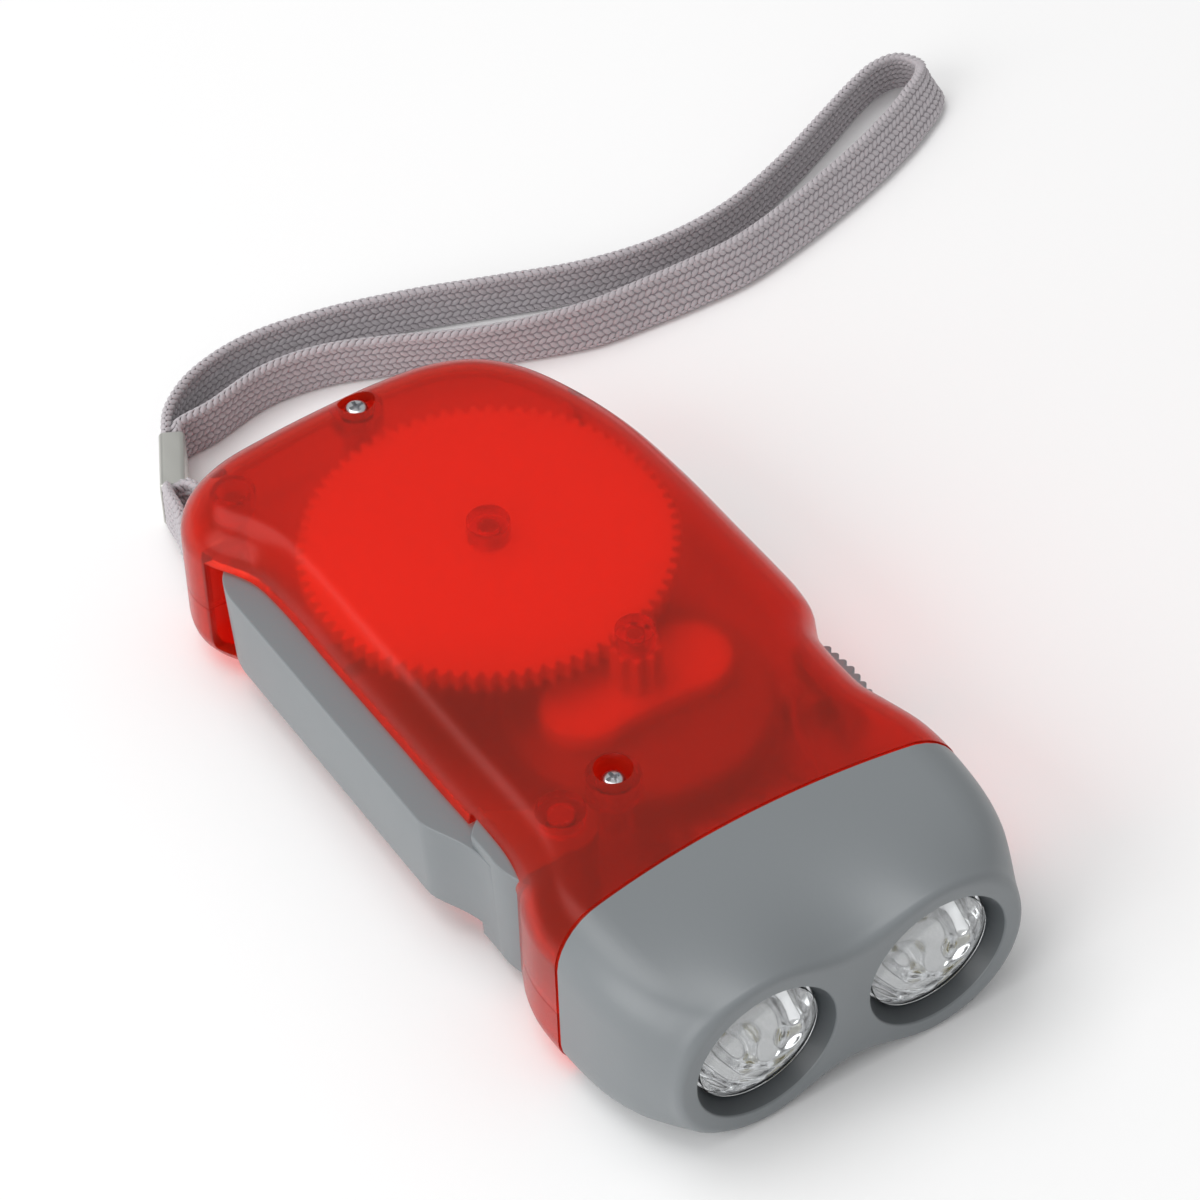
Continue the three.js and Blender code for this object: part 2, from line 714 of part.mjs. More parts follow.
// Lamp: flange, body and dome of one light-emitting diode on the board
function led(x) {
  const profile = [[0, 0], [ledRadius + partGap, 0], [ledRadius + partGap, ledFlange],
    [ledRadius, ledFlange], [ledRadius, ledBody]];
  for (const deg of domeDegs) {
    profile.push([ledRadius * Math.cos(rad(deg)), ledBody + ledRadius * Math.sin(rad(deg))]);
  }
  return turned(profile, smallFacets).rotateX(Math.PI / 2).translate(x, boardFrontY - partGap / 3, middleZ);
}

function ledBoard() {
  return block(-boardWidth / 2, boardWidth / 2, boardFrontY, boardFrontY + boardThickness,
    middleZ - boardHeight / 2,
    middleZ + boardHeight / 2);
}

// Outline of an involute gear around its own centre, with a tooth pointing at the angle given
function gearOutline(teeth, module, toothDeg, first = 0, last = teeth - 1) {
  const pitch = module * teeth / 2;
  const base = pitch * Math.cos(rad(pressureDeg));
  const tip = pitch + addendumShare * module;
  const root = pitch - dedendumShare * module;
  const involute = (radius) => {
    const angle = radius <= base ? 0 : Math.acos(base / radius);
    return Math.tan(angle) - angle;
  };
  const halfTooth = Math.PI / (2 * teeth) - backlash / (2 * pitch);
  const halfAt = (radius) => halfTooth + involute(pitch) - involute(radius);
  const flank = teeth > fineTeeth ? [root, tip] : [root, Math.max(pitch, base), tip];
  const points = [];
  for (let tooth = first; tooth <= last; tooth += 1) {
    const middle = rad(toothDeg) + 2 * Math.PI * tooth / teeth;
    for (const radius of flank) {
      points.push([radius, middle - halfAt(radius)]);
    }
    for (const radius of [...flank].reverse()) {
      points.push([radius, middle + halfAt(radius)]);
    }
  }
  return points.map(([radius, angle]) => new THREE.Vector2(radius * Math.cos(angle),
    radius * Math.sin(angle)));
}

function at(points, place) {
  return points.map((point) => point.clone().add(place));
}

// Big gear with its pinion below: plain on top, with its web set back on the underside
const pinionPhaseDeg = gearDirectionDeg + 180 + 180 / pinionTeeth;

function driveGear() {
  const wheel = solid(plate(shapeOf(gearOutline(gearTeeth, gearModule, rotorDirectionDeg)), gearLow,
    gearTopZ));
  const inner = gearRadius - gearModule - gearRimWidth;
  const dish = collar(new THREE.Vector2(), gearHubRadius, inner, gearLow - overrun, gearLow + gearWebDepth,
    roundFacets + smallFacets);
  const bore = solid(rod(new THREE.Vector2(), gearAxleRadius + runningGap, gearLow - overrun,
    gearTopZ + overrun));
  return cut(wheel, dish, bore);
}

function drivePinion() {
  const teeth = solid(plate(shapeOf(gearOutline(pinionTeeth, arcModule, pinionPhaseDeg)), arcLow - partGap,
    gearLow - partGap / 2));
  const bore = solid(rod(new THREE.Vector2(), gearAxleRadius + runningGap, 0, height));
  return cut(teeth, bore);
}

// Rotor: a steel cup with a ring magnet inside it and a white hub with two lobes and a pinion
const rotorPhaseDeg = rotorDirectionDeg + 180 + 180 / rotorPinionTeeth;

function rotorCup() {
  const bore = rotorAxleRadius + runningGap + bossWall + partGap / 2;
  const profile = [[bore, rotorCrownLow], [rotorRadius - rotorRimWidth, rotorCrownLow],
    [rotorRadius - rotorRimWidth, bobbinLow],
    [rotorRadius, bobbinLow], [rotorRadius, rotorHigh], [bore, rotorHigh]];
  return turned([...profile, profile[0]]);
}

function ringMagnet() {
  const outer = rotorRadius - rotorRimWidth - partGap / 3;
  const inner = outer - magnetThickness;
  const high = rotorCrownLow - partGap / 3;
  const profile = [[inner, high - magnetHeight], [outer, high - magnetHeight], [outer, high],
    [inner, high]];
  return turned([...profile, profile[0]]);
}

function rotorHub() {
  const plateLow = rotorHigh + partGap / 3;
  const reach = lobeReach - lobeRadius;
  const shape = new THREE.Shape();
  const start = Math.asin(lobeWaist / 2 / lobeRadius);
  shape.absarc(reach, 0, lobeRadius, -Math.PI + start, Math.PI - start);
  shape.absarc(-reach, 0, lobeRadius, start, 2 * Math.PI - start);
  shape.closePath();
  const web = solid(plate(shape, plateLow, plateLow + lobeThickness, smallFacets));
  const sleeve = solid(rod(new THREE.Vector2(), rotorAxleRadius + runningGap + bossWall,
    rotorCrownLow - partGap, plateLow + lobeThickness));
  const teeth = solid(plate(shapeOf(gearOutline(rotorPinionTeeth, gearModule, rotorPhaseDeg)), plateLow,
    gearTopZ + partGap));
  const bore = solid(rod(new THREE.Vector2(), rotorAxleRadius + runningGap, 0, height));
  return cut(joined(web, sleeve, teeth), bore);
}

function bobbin() {
  const low = bobbinLow;
  const high = bobbinLow + bobbinHeight;
  const bore = rotorAxleRadius + runningGap;
  const profile = [[bore, low], [coilRadius, low], [coilRadius, low + flange], [bobbinCore, low + flange],
    [bobbinCore, high - flange], [coilRadius, high - flange], [coilRadius, high], [bore, high]];
  return turned([...profile, profile[0]]);
}

function coilWinding() {
  const low = bobbinLow + flange + partGap / 3;
  const high = bobbinLow + bobbinHeight - flange - partGap / 3;
  const inner = bobbinCore + partGap / 3;
  const profile = [[inner, low], [coilRadius - partGap, low], [coilRadius, (low + high) / 2],
    [coilRadius - partGap, high], [inner, high]];
  return turned([...profile, profile[0]]);
}

// One claw plate of the stator, with fingers round its edge
function polePlate(low, turnDeg) {
  const shape = new THREE.Shape();
  const points = [];
  for (let pole = 0; pole < poleCount; pole += 1) {
    const middle = turnDeg + 360 * pole / poleCount;
    const wide = 360 / poleCount * poleWidthShare;
    points.push(polar(new THREE.Vector2(), coilRadius, middle - poleRootShare * wide),
      polar(new THREE.Vector2(), poleRadius, middle - wide),
      polar(new THREE.Vector2(), poleRadius, middle + wide),
        polar(new THREE.Vector2(), coilRadius, middle + poleRootShare * wide));
  }
  shape.setFromPoints(points);
  const hole = solid(rod(new THREE.Vector2(), rotorAxleRadius + runningGap, low - overrun, low + overrun));
  return cut(solid(plate(shape, low, low + poleThickness)), hole);
}

// Pan-head screw with a cross slot, its head's top at the height given
function screw(place, headZ) {
  const seat = headZ - screwHeadHeight;
  const profile = [[0, seat - screwLength], [screwShankRadius * screwTipShare, seat - screwLength],
    [screwShankRadius, seat - screwLength + screwShankRadius], [screwShankRadius, seat + partGap / 3],
    [screwHeadRadius, seat + partGap / 3], [screwHeadRadius, headZ - screwHeadHeight / 2],
    [screwHeadRadius * screwCrownShare, headZ], [0, headZ]];
  const blank = solid(turned(profile, smallFacets));
  const half = screwHeadRadius * screwSlotShare;
  const slots = [
    block(-half, half, -slotWidth / 2, slotWidth / 2, headZ - slotDepth, headZ + overrun),
    block(-slotWidth / 2, slotWidth / 2, -half, half, headZ - slotDepth, headZ + overrun),
  ];
  return { body: cut(blank, ...slots.map(solid)), place };
}

// Lever: grip, neck and barrel in one moulding with the toothed arc
function leverOutline() {
  const innerX = leverOuterX + leverDepth;
  const bendY = pivot.y + neckRadius + leverBend;
  const neckEnd = polar(pivot, neckRadius, neckBlendDeg);
  const shape = new THREE.Shape();
  shape.moveTo(innerX, leverTipY);
  shape.quadraticCurveTo(leverOuterX + leverWall / 4, leverTipY, leverOuterX, leverTipY - leverToe);
  shape.lineTo(leverOuterX, bendY);
  shape.bezierCurveTo(leverOuterX, bendY - leverBend, neckEnd.x, neckEnd.y + 2 * leverBend, neckEnd.x,
    neckEnd.y);
  shape.lineTo(innerX + leverDepth / 2, neckEnd.y);
  shape.lineTo(innerX, bendY);
  shape.closePath();
  return shape;
}

// Neck seen from above: its cornered rear end, then an arc about the pivot
function neckOutline() {
  const [corner, ...rest] = neckShares.map(([x, y]) => new THREE.Vector2(x,
    y).multiplyScalar(neckRadius).add(pivot));
  const shape = new THREE.Shape();
  shape.absarc(pivot.x, pivot.y, neckRadius, rad(neckBlendDeg), rad(neckEndDeg));
  for (const deg of [webEndDeg, webStartDeg]) {
    const side = polar(pivot, barrelRadius, deg);
    shape.lineTo(side.x, side.y);
  }
  for (const point of [...rest.reverse(), corner]) {
    shape.lineTo(point.x, point.y);
  }
  shape.closePath();
  return shape;
}

function squeezeLever() {
  const innerX = leverOuterX + leverDepth;
  const grip = solid(plate(leverOutline(), leverLow, leverHigh, gripSteps));
  const pockets = [];
  const pocketStart = pivot.y + neckRadius + leverToe;
  const pocketPitch = (leverTipY - leverToe - pocketStart) / leverRibCount;
  for (let i = 0; i < leverRibCount; i += 1) {
    const lowY = pocketStart + i * pocketPitch;
    pockets.push(solid(block(leverOuterX + leverWall, innerX + overrun, lowY, lowY + pocketPitch - leverRib,
      leverLow + leverWall, leverHigh - leverWall)));
  }
  const neck = solid(plate(neckOutline(), barrelLow, neckHigh, smallFacets));
  const skirt = cut(solid(plate(neckOutline(), neckLow, neckHigh, smallFacets)), neckHollow());
  const barrel = solid(rod(pivot, barrelRadius, barrelLow, neckHigh, roundFacets));
  const bore = solid(rod(pivot, leverPinRadius + runningGap, 0, height));
  return cut(joined(cut(grip, ...pockets), neck, skirt, barrel, toothedArc()), bore);
}

// The hollow under the neck that leaves its outer skirt standing
function neckHollow() {
  const shape = new THREE.Shape();
  shape.absarc(pivot.x, pivot.y, neckRadius - leverWall, 0, 2 * Math.PI);
  return solid(plate(shape, neckLow - overrun, barrelLow + partGap, smallFacets));
}

// Toothed arc about the lever's pivot, carried by a band that ends in the grip
function toothedArc() {
  const toothDeg = 360 / arcTeeth;
  const before = Math.ceil(leverOpenDeg / toothDeg) + spareTeeth;
  const teeth = gearOutline(arcTeeth, arcModule, gearDirectionDeg, -before, spareTeeth + 1);
  const lastTooth = teeth[teeth.length - 1];
  const rootRadius = arcRadius - dedendumShare * arcModule;
  const inner = rootRadius - arcBand;
  const outerArc = [];
  const innerArc = [];
  const startDeg = THREE.MathUtils.radToDeg(Math.atan2(teeth[0].y, teeth[0].x));
  const fromDeg = THREE.MathUtils.radToDeg(Math.atan2(lastTooth.y, lastTooth.x));
  for (let i = 1; i <= arcSteps; i += 1) {
    outerArc.push(polar(new THREE.Vector2(), rootRadius,
      THREE.MathUtils.lerp(fromDeg, arcEndDeg, i / arcSteps)));
  }
  for (let i = 0; i <= arcSteps; i += 1) {
    innerArc.push(polar(new THREE.Vector2(), inner, THREE.MathUtils.lerp(arcEndDeg, startDeg,
      i / arcSteps)));
  }
  return solid(plate(shapeOf(at([...teeth, ...outerArc, ...innerArc], pivot)), arcLow,
    arcLow + arcThickness));
}

// Return spring: turns of wire round the pin below the barrel, with a leg at each end
function leverSpring() {
  const radius = leverPinRadius + partGap + springWire;
  const leg = springLegShare * radius;
  const low = neckLow + springWire;
  const rise = barrelLow - neckLow - 4 * springWire;
  const last = springTurns * springFacets;
  const points = [new THREE.Vector3(pivot.x + radius, pivot.y - leg, low)];
  for (let step = 0; step <= last; step += 1) {
    const turn = polar(pivot, radius, 360 * step / springFacets);
    points.push(new THREE.Vector3(turn.x, turn.y, low + rise * step / last));
  }
  points.push(new THREE.Vector3(pivot.x + radius, pivot.y + leg, low + rise));
  return tube(points, springWire, springSides, Math.round(points.length * springStepShare));
}

// A tube of few sides along a curve through the points
function tube(points, radius, sides, steps) {
  const section = new THREE.Shape();
  for (let i = 0; i < sides; i += 1) {
    const place = polar(new THREE.Vector2(), radius, 360 * i / sides);
    if (i === 0) section.moveTo(place.x, place.y);
    else section.lineTo(place.x, place.y);
  }
  section.closePath();
  const path = new THREE.CatmullRomCurve3(points, false, 'centripetal');
  return new THREE.ExtrudeGeometry(section, { steps, bevelEnabled: false, extrudePath: path });
}

function cell(i) {
  const lowX = cellsStartX + contactThickness + partGap / 3 + i * (cellLength + seamGap);
  const step = cellRadius * cellEdgeShare;
  const profile = [[0, 0], [cellRadius - step, 0], [cellRadius, step], [cellRadius, cellLength - step],
    [cellRadius - step, cellLength - step], [cellRadius - 2 * step, cellLength], [0, cellLength]];
  return new THREE.LatheGeometry(profile.map(([r, z]) => new THREE.Vector2(r, z)), cellFacets)
    .rotateZ(-Math.PI / 2).translate(lowX, cellAxisY, cellAxisZ);
}

function cellContact(lowX) {
  return block(lowX, lowX + contactThickness, cellAxisY - cellRadius * contactWidthShare,
    cellAxisY + cellRadius * contactWidthShare, wall + partGap,
      cellAxisZ + cellRadius * contactHeightShare);
}

// Slide switch: a base plate in the side, a knurled knob that slides on it and the contact block inside
function switchPlate() {
  const face = solid(block(plateOuterX - plateThickness, plateOuterX, switchY - plateLength / 2,
    switchY + plateLength / 2,
    switchMiddleZ - switchHeight / 2, switchMiddleZ + switchHeight / 2));
  const slotLength = stemWidth + switchTravel + 2 * partGap;
  const slot = solid(block(0, 2 * halfWidth, switchY - switchTravel - stemWidth / 2 - partGap,
    switchY - switchTravel - stemWidth / 2 - partGap + slotLength, switchMiddleZ - stemWidth / 2 - partGap,
    switchMiddleZ + stemWidth / 2 + partGap));
  return cut(face, slot);
}

function switchKnob() {
  const shape = new THREE.Shape();
  const innerX = plateOuterX + partGap / 2;
  const startY = switchY - knobLength / 2;
  const rowX = knobReach - knurlDepth;
  const pitch = knobLength / knurlCount;
  shape.moveTo(innerX, startY);
  for (let i = 0; i < knurlCount; i += 1) {
    const crown = rowX - Math.abs(i - (knurlCount - 1) / 2) * knurlDepth * knurlFallShare;
    shape.lineTo(crown, startY + (i + knurlGapShare) * pitch);
    shape.quadraticCurveTo(crown + 2 * knurlDepth, startY + (i + 1 / 2) * pitch, crown,
      startY + (i + 1 - knurlGapShare) * pitch);
  }
  shape.lineTo(innerX, startY + knobLength);
  shape.closePath();
  const half = switchHeight / 2 - partGap;
  const knob = solid(plate(shape, switchMiddleZ - half, switchMiddleZ + half, knurlSteps));
  const stem = solid(block(plateOuterX - plateThickness - wall, innerX + partGap, switchY - stemWidth / 2,
    switchY + stemWidth / 2, switchMiddleZ - stemWidth / 2, switchMiddleZ + stemWidth / 2));
  return joined(knob, stem);
}

function switchBlock() {
  return block(blockHighX - switchBodyDepth, blockHighX, switchY - switchBodyLength / 2,
    switchY + switchBodyLength / 2,
    switchMiddleZ - switchBodyHeight / 2, switchMiddleZ + switchBodyHeight / 2);
}

// Strap: two strands from the crimp that are one loop, and a short loop round the post
const crimpAlong = new THREE.Vector2(0, 1).rotateAround(new THREE.Vector2(), rad(crimpTurnDeg));
const crimpAcross = new THREE.Vector2(crimpAlong.y, -crimpAlong.x);
const crimpFront = crimpRear.clone().addScaledVector(crimpAlong, -crimpLength);
const strandOffset = strapThickness / 2 + strandGap / 2;

function strand(end, side, out) {
  const place = end.clone().addScaledVector(crimpAcross, side * strandOffset).addScaledVector(crimpAlong,
    out);
  return [place.x, place.y, 0];
}

// Route of the long loop on the table, from the crimp and back to it: places of the strap's
// lower edge seen from above, each with the strap's lean to the inside of the loop in degrees
const loopRoute = [
  [-8.1, 77.4, 0], [0.8, 79.3, 0], [9.2, 78.3, 0], [18, 74.8, -3], [26, 71, -5], [34, 67.3, 2],
  [42.5, 64.3, 12], [50.4, 63.4, 17], [58.1, 62.9, 20], [66.1, 63, 22], [75.6, 64.8, 25],
  [85.4, 67.4, 28], [92, 69.5, 30], [97.5, 71.6, 32], [101.1, 73.2, 33], [104.2, 74.9, 33],
  [106.6, 76.3, 32], [108.9, 78.6, 30], [109.4, 81.2, 26], [108, 83.6, 20], [105.2, 85.2, 12],
  [101.4, 84.9, 6], [97, 83.2, 3], [90, 79.8, 0], [79, 75, 0], [68, 71.6, 0], [57, 70.9, 0],
  [46, 72.8, 0], [35, 76.8, 0], [24, 81, 0], [12, 84.4, 0], [1, 85.6, 0], [-7.7, 83.6, 0],
  [-13, 79.9, 0],
];

// Route of the short loop through the slot in the rear wall and round the post
const tailRoute = [
  [-18.6, 64.4, 0], [-18.2, 60, 0], [-18.4, 55, 0], [-18.5, 50.5, 0], [-18.5, 46.9, 0],
  [-19.6, 44.6, 0], [-21.6, 44.1, 0], [-23.3, 45.2, 0], [-23.7, 48.5, 0], [-23.7, 53.5, 0],
  [-23.2, 57, 0], [-22.2, 60.6, 0], [-21.6, 63.8, 0],
];

// A flat strap standing on its edge along a route seen from above
function strapBody(route, lowAt, steps) {
  const places = route.map(([x, y], i) => new THREE.Vector3(x, y, lowAt(i / (route.length - 1))));
  const leans = route.map(([, , lean], i) => new THREE.Vector3(places[i].x, places[i].y, lean));
  const curve = new THREE.CatmullRomCurve3(places, false, 'centripetal');
  const leanCurve = new THREE.CatmullRomCurve3(leans, false, 'centripetal');
  const round = strapThickness * strapEdgeShare;
  const halfT = strapThickness / 2;
  const section = [[-halfT, round], [-halfT + round, 0], [halfT - round, 0], [halfT, round],
    [halfT, strapWidth - round], [halfT - round, strapWidth], [-halfT + round, strapWidth],
    [-halfT, strapWidth - round]];
  const rings = [];
  for (let step = 0; step <= steps; step += 1) {
    const share = curve.getUtoTmapping(step / steps);
    const place = curve.getPoint(share);
    const along = curve.getTangent(share).setZ(0).normalize();
    const lean = rad(leanCurve.getPoint(share).z);
    rings.push(section.map(([across, up]) => {
      const side = across * Math.cos(lean) + up * Math.sin(lean);
      const rise = up * Math.cos(lean) - across * Math.sin(lean) + strapThickness / 2 * Math.sin(lean);
      return new THREE.Vector3(place.x - along.y * side, place.y + along.x * side, place.z + rise);
    }));
  }
  return lofted(rings);
}

function wristStrap() {
  const lead = strandLeadShare * strapThickness;
  const route = [strand(crimpRear, 1, partGap), strand(crimpRear, 1, lead), ...loopRoute,
    strand(crimpRear, -1, lead), strand(crimpRear, -1, partGap)];
  return strapBody(route, () => strapLift, loopSteps);
}

function strapTail() {
  const lead = 3 * partGap;
  const route = [strand(crimpFront, 1, -partGap), strand(crimpFront, 1, -lead), ...tailRoute,
    strand(crimpFront, -1, -lead), strand(crimpFront, -1, -partGap)];
  const lift = (share) => THREE.MathUtils.lerp(strapLift, tailLift,
    Math.min(1, riseShare * share, riseShare * (1 - share)));
  return strapBody(route, lift, tailSteps);
}

// Crimp: a folded metal clip round both strands, solid where it grips them
function strapCrimp() {
  const halfX = strapThickness + strandGap / 2 + crimpWall;
  const body = block(-halfX, halfX, -crimpLength / 2, crimpLength / 2, 0, strapWidth + 2 * strapLift);
  const middle = crimpFront.clone().add(crimpRear).multiplyScalar(0.5);
  return body.rotateZ(rad(crimpTurnDeg)).translate(middle.x, middle.y, 0);
}

// Wires led through hand-picked places inside the housing
const wireRoutes = {
  coil_lead: [[2.5, -7.8, 2.3], [-1.5, -11.5, 2.2], [-5.1, -14.4, 2.2], [-5.2, -19.6, 2.3],
    [-4.9, -24.2, 4],
    [-4.1, -26.6, 8]],
  cell_lead: [[14.9, -26.4, 8], [16.2, -25, 8.6], [18.8, -20.6, 11], [20.2, -16.8, 12.2]],
  board_lead: [[20.6, -14, 16], [18.8, -15.8, 16.5], [16.2, -19.8, 16.8], [14.6, -26, 17.2],
    [13.4, -32.6, 17.2], [12.6, -40.6, 15.6]],
};

function wire(points) {
  return tube(points.map((point) => new THREE.Vector3(...point)), wireRadius, wireSides, wireSteps);
}

const frame = new THREE.Group();
const translucent = { color: 0xe1331f, roughness: 0.35, metalness: 0, transparent: true, opacity: 0.6 };
const greyPlastic = { color: 0x7a8083, roughness: 0.55, metalness: 0 };
const whitePlastic = { color: 0xf0eee8, roughness: 0.5, metalness: 0 };
const steel = { color: 0xb9bcc0, roughness: 0.3, metalness: 1 };
const darkSteel = { color: 0x4a4b4f, roughness: 0.4, metalness: 1 };
const copper = { color: 0xb5673a, roughness: 0.35, metalness: 1 };
const mirror = { color: 0xe8eaec, roughness: 0.08, metalness: 1 };
const clear = { color: 0xf2f6f8, roughness: 0.05, metalness: 0, transparent: true, opacity: 0.35 };
const boardGreen = { color: 0x2f6b3a, roughness: 0.6, metalness: 0 };
const strapGrey = { color: 0x969196, roughness: 0.9, metalness: 0 };
const wireRed = { color: 0xb3231c, roughness: 0.5, metalness: 0 };
const wireBlack = { color: 0x1d1d1f, roughness: 0.5, metalness: 0 };

function addPiece(name, body, look, place) {
  const geometry = body.isBufferGeometry ? body : geometryOf(body);
  const mesh = new THREE.Mesh(geometry, new THREE.MeshStandardMaterial(look));
  mesh.name = name;
  if (place) {
    mesh.position.set(place.x, place.y, 0);
  }
  frame.add(mesh);
  return mesh;
}

addPiece('bottom_shell', bottomShell(), translucent);
addPiece('top_shell', topShell(), translucent);
addPiece('head_bezel', headBezel(), greyPlastic);
for (const [side, way] of [['left', -1], ['right', 1]]) {
  const x = way * lampSpacing / 2;
  addPiece(`lens_${side}`, lens(x), clear);
  addPiece(`reflector_${side}`, reflector(x), mirror);
  addPiece(`led_${side}`, led(x), clear);
}
addPiece('led_board', ledBoard(), boardGreen);
addPiece('squeeze_lever', squeezeLever(), greyPlastic);
addPiece('lever_pin', rod(pivot, leverPinRadius, wall / 2 + partGap / 3, ceiling - wall), steel);
addPiece('lever_spring', leverSpring(), steel);
addPiece('drive_gear', driveGear(), whitePlastic, gearPlace);
addPiece('drive_pinion', drivePinion(), whitePlastic, gearPlace);
addPiece('gear_axle', rod(gearPlace, gearAxleRadius, wall + partGap / 3, ceiling - wall), steel);
addPiece('rotor_cup', rotorCup(), darkSteel, rotorPlace);
addPiece('ring_magnet', ringMagnet(), darkSteel, rotorPlace);
addPiece('rotor_hub', rotorHub(), whitePlastic, rotorPlace);
addPiece('rotor_axle', rod(rotorPlace, rotorAxleRadius, wall / 2 + partGap / 3, ceiling - wall), steel);
addPiece('coil_bobbin', bobbin(), whitePlastic, rotorPlace);
addPiece('coil_winding', coilWinding(), copper, rotorPlace);
addPiece('lower_pole', polePlate(bobbinLow - poleThickness - partGap / 3, 0), steel, rotorPlace);
addPiece('upper_pole', polePlate(bobbinLow + bobbinHeight + partGap / 3, 180 / poleCount), steel,
  rotorPlace);
for (const [name, item] of [['rear_screw', screw(rearScrew, rearHeadZ)],
  ['front_screw', screw(frontScrew, frontHeadZ)]]) {
  addPiece(name, item.body, steel, item.place);
}
for (let i = 0; i < cellCount; i += 1) {
  addPiece(`cell_${i + 1}`, cell(i), steel);
}
addPiece('cell_contact_left', cellContact(cellsStartX - partGap / 3), steel);
const cellsEndX = cellsStartX + contactThickness + cellCount * (cellLength + seamGap);
addPiece('cell_contact_right', cellContact(cellsEndX + partGap / 3), steel);
addPiece('switch_plate', switchPlate(), greyPlastic);
addPiece('switch_knob', switchKnob(), greyPlastic);
addPiece('switch_block', switchBlock(), steel);
for (const [name, route] of Object.entries(wireRoutes)) {
  addPiece(name, wire(route), name === 'coil_lead' ? wireBlack : wireRed);
}
addPiece('strap_crimp', strapCrimp(), steel);
addPiece('wrist_strap', wristStrap(), strapGrey);
addPiece('strap_tail', strapTail(), strapGrey);

frame.children.forEach((mesh) => mesh.position.add(new THREE.Vector3(originX, originY, 0)));

export default frame;
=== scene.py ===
# Squeeze-lever dynamo torch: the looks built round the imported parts.
# Sizes and places in the dictionaries are millimetres, and shift takes the places into the part's frame.
import math

import bmesh
import bpy
from mathutils import Matrix, Vector


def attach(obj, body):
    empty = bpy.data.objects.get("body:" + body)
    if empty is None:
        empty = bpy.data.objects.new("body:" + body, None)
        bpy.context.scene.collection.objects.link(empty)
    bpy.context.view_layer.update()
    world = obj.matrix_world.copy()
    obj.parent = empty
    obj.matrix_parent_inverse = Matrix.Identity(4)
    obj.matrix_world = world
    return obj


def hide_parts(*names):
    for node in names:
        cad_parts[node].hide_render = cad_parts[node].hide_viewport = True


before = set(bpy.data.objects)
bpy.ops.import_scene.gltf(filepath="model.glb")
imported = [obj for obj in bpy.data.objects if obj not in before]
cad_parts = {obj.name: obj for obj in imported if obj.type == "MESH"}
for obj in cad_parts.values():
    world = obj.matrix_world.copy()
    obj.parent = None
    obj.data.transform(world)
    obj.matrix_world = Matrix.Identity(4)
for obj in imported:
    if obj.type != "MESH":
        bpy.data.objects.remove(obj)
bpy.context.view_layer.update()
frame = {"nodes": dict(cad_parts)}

mm = 0.001
shift = Vector((0.3, -0.4, 0))
mergeDistance = 1e-8  # in metres
shortest = 1e-6  # stops a division by zero
axisGap = 0.05  # a turned shape's rings stop this far from its axis
loopShare = 1.3  # how far a support loop lies behind an edge, in its radii
mitreLimit = 0.4  # keeps a sharp corner from running far out
scene = bpy.context.scene
scene.view_settings.view_transform = "Standard"
scene.view_settings.look = "None"


# Node trees

class Wire:  # one socket; arithmetic on it adds Math nodes
    def __init__(self, graph, socket):
        self.graph = graph
        self.socket = socket

    def math(self, operation, *values):
        return self.graph.node("ShaderNodeMath", {"operation": operation}, dict(enumerate(values)))

    def __add__(self, other):
        return self.math("ADD", self, other)

    def __radd__(self, other):
        return self.math("ADD", other, self)

    def __mul__(self, other):
        return self.math("MULTIPLY", self, other)

    def __rmul__(self, other):
        return self.math("MULTIPLY", other, self)

    def __truediv__(self, other):
        return self.math("DIVIDE", self, other)

    def __rtruediv__(self, other):
        return self.math("DIVIDE", other, self)


class Graph:  # a node tree and the one way of adding a node to it
    def __init__(self, tree):
        self.tree = tree

    def node(self, kind, settings=None, inputs=None, out=0):
        made = self.tree.nodes.new(kind)
        for key, value in (settings or {}).items():
            setattr(made, key, value)
        for key, value in (inputs or {}).items():
            if isinstance(value, Wire):
                self.tree.links.new(value.socket, made.inputs[key])
            else:
                made.inputs[key].default_value = value
        return Wire(self, made.outputs[out]) if made.outputs else made


def newMaterial(name):
    material = bpy.data.materials.new(name)
    material.use_nodes = True
    material.node_tree.nodes.clear()
    return material, Graph(material.node_tree)


def closeMaterial(graph, surface, volume=None):
    ends = {"Surface": surface}
    if volume is not None:
        ends["Volume"] = volume
    graph.node("ShaderNodeOutputMaterial", None, ends)


def rgb(red, green, blue):
    return (red, green, blue, 1.0)


def ownPlace(graph):
    return graph.node("ShaderNodeTexCoord", None, None, "Object")


def grain(graph, scale, detail=4.0, roughness=0.6):
    inputs = {"Vector": ownPlace(graph), "Scale": scale, "Detail": detail, "Roughness": roughness}
    return graph.node("ShaderNodeTexNoise", None, inputs)


def blendColour(graph, factor, first, second):
    inputs = {0: factor, 6: first, 7: second}
    return graph.node("ShaderNodeMix", {"data_type": "RGBA"}, inputs, 2)


def bumped(graph, height, strength, distance):
    return graph.node("ShaderNodeBump", None, {"Strength": strength, "Distance": distance, "Height": height})


def tintedShadow(graph, body, tint):  # light that passes to what lies behind is only tinted
    passing = graph.node("ShaderNodeBsdfTransparent", None, {"Color": tint})
    shadow = graph.node("ShaderNodeLightPath", None, None, "Is Shadow Ray")
    return graph.node("ShaderNodeMixShader", None, {0: shadow, 1: body, 2: passing})


# Finishes; scales are in repeats per metre and bump depths in metres

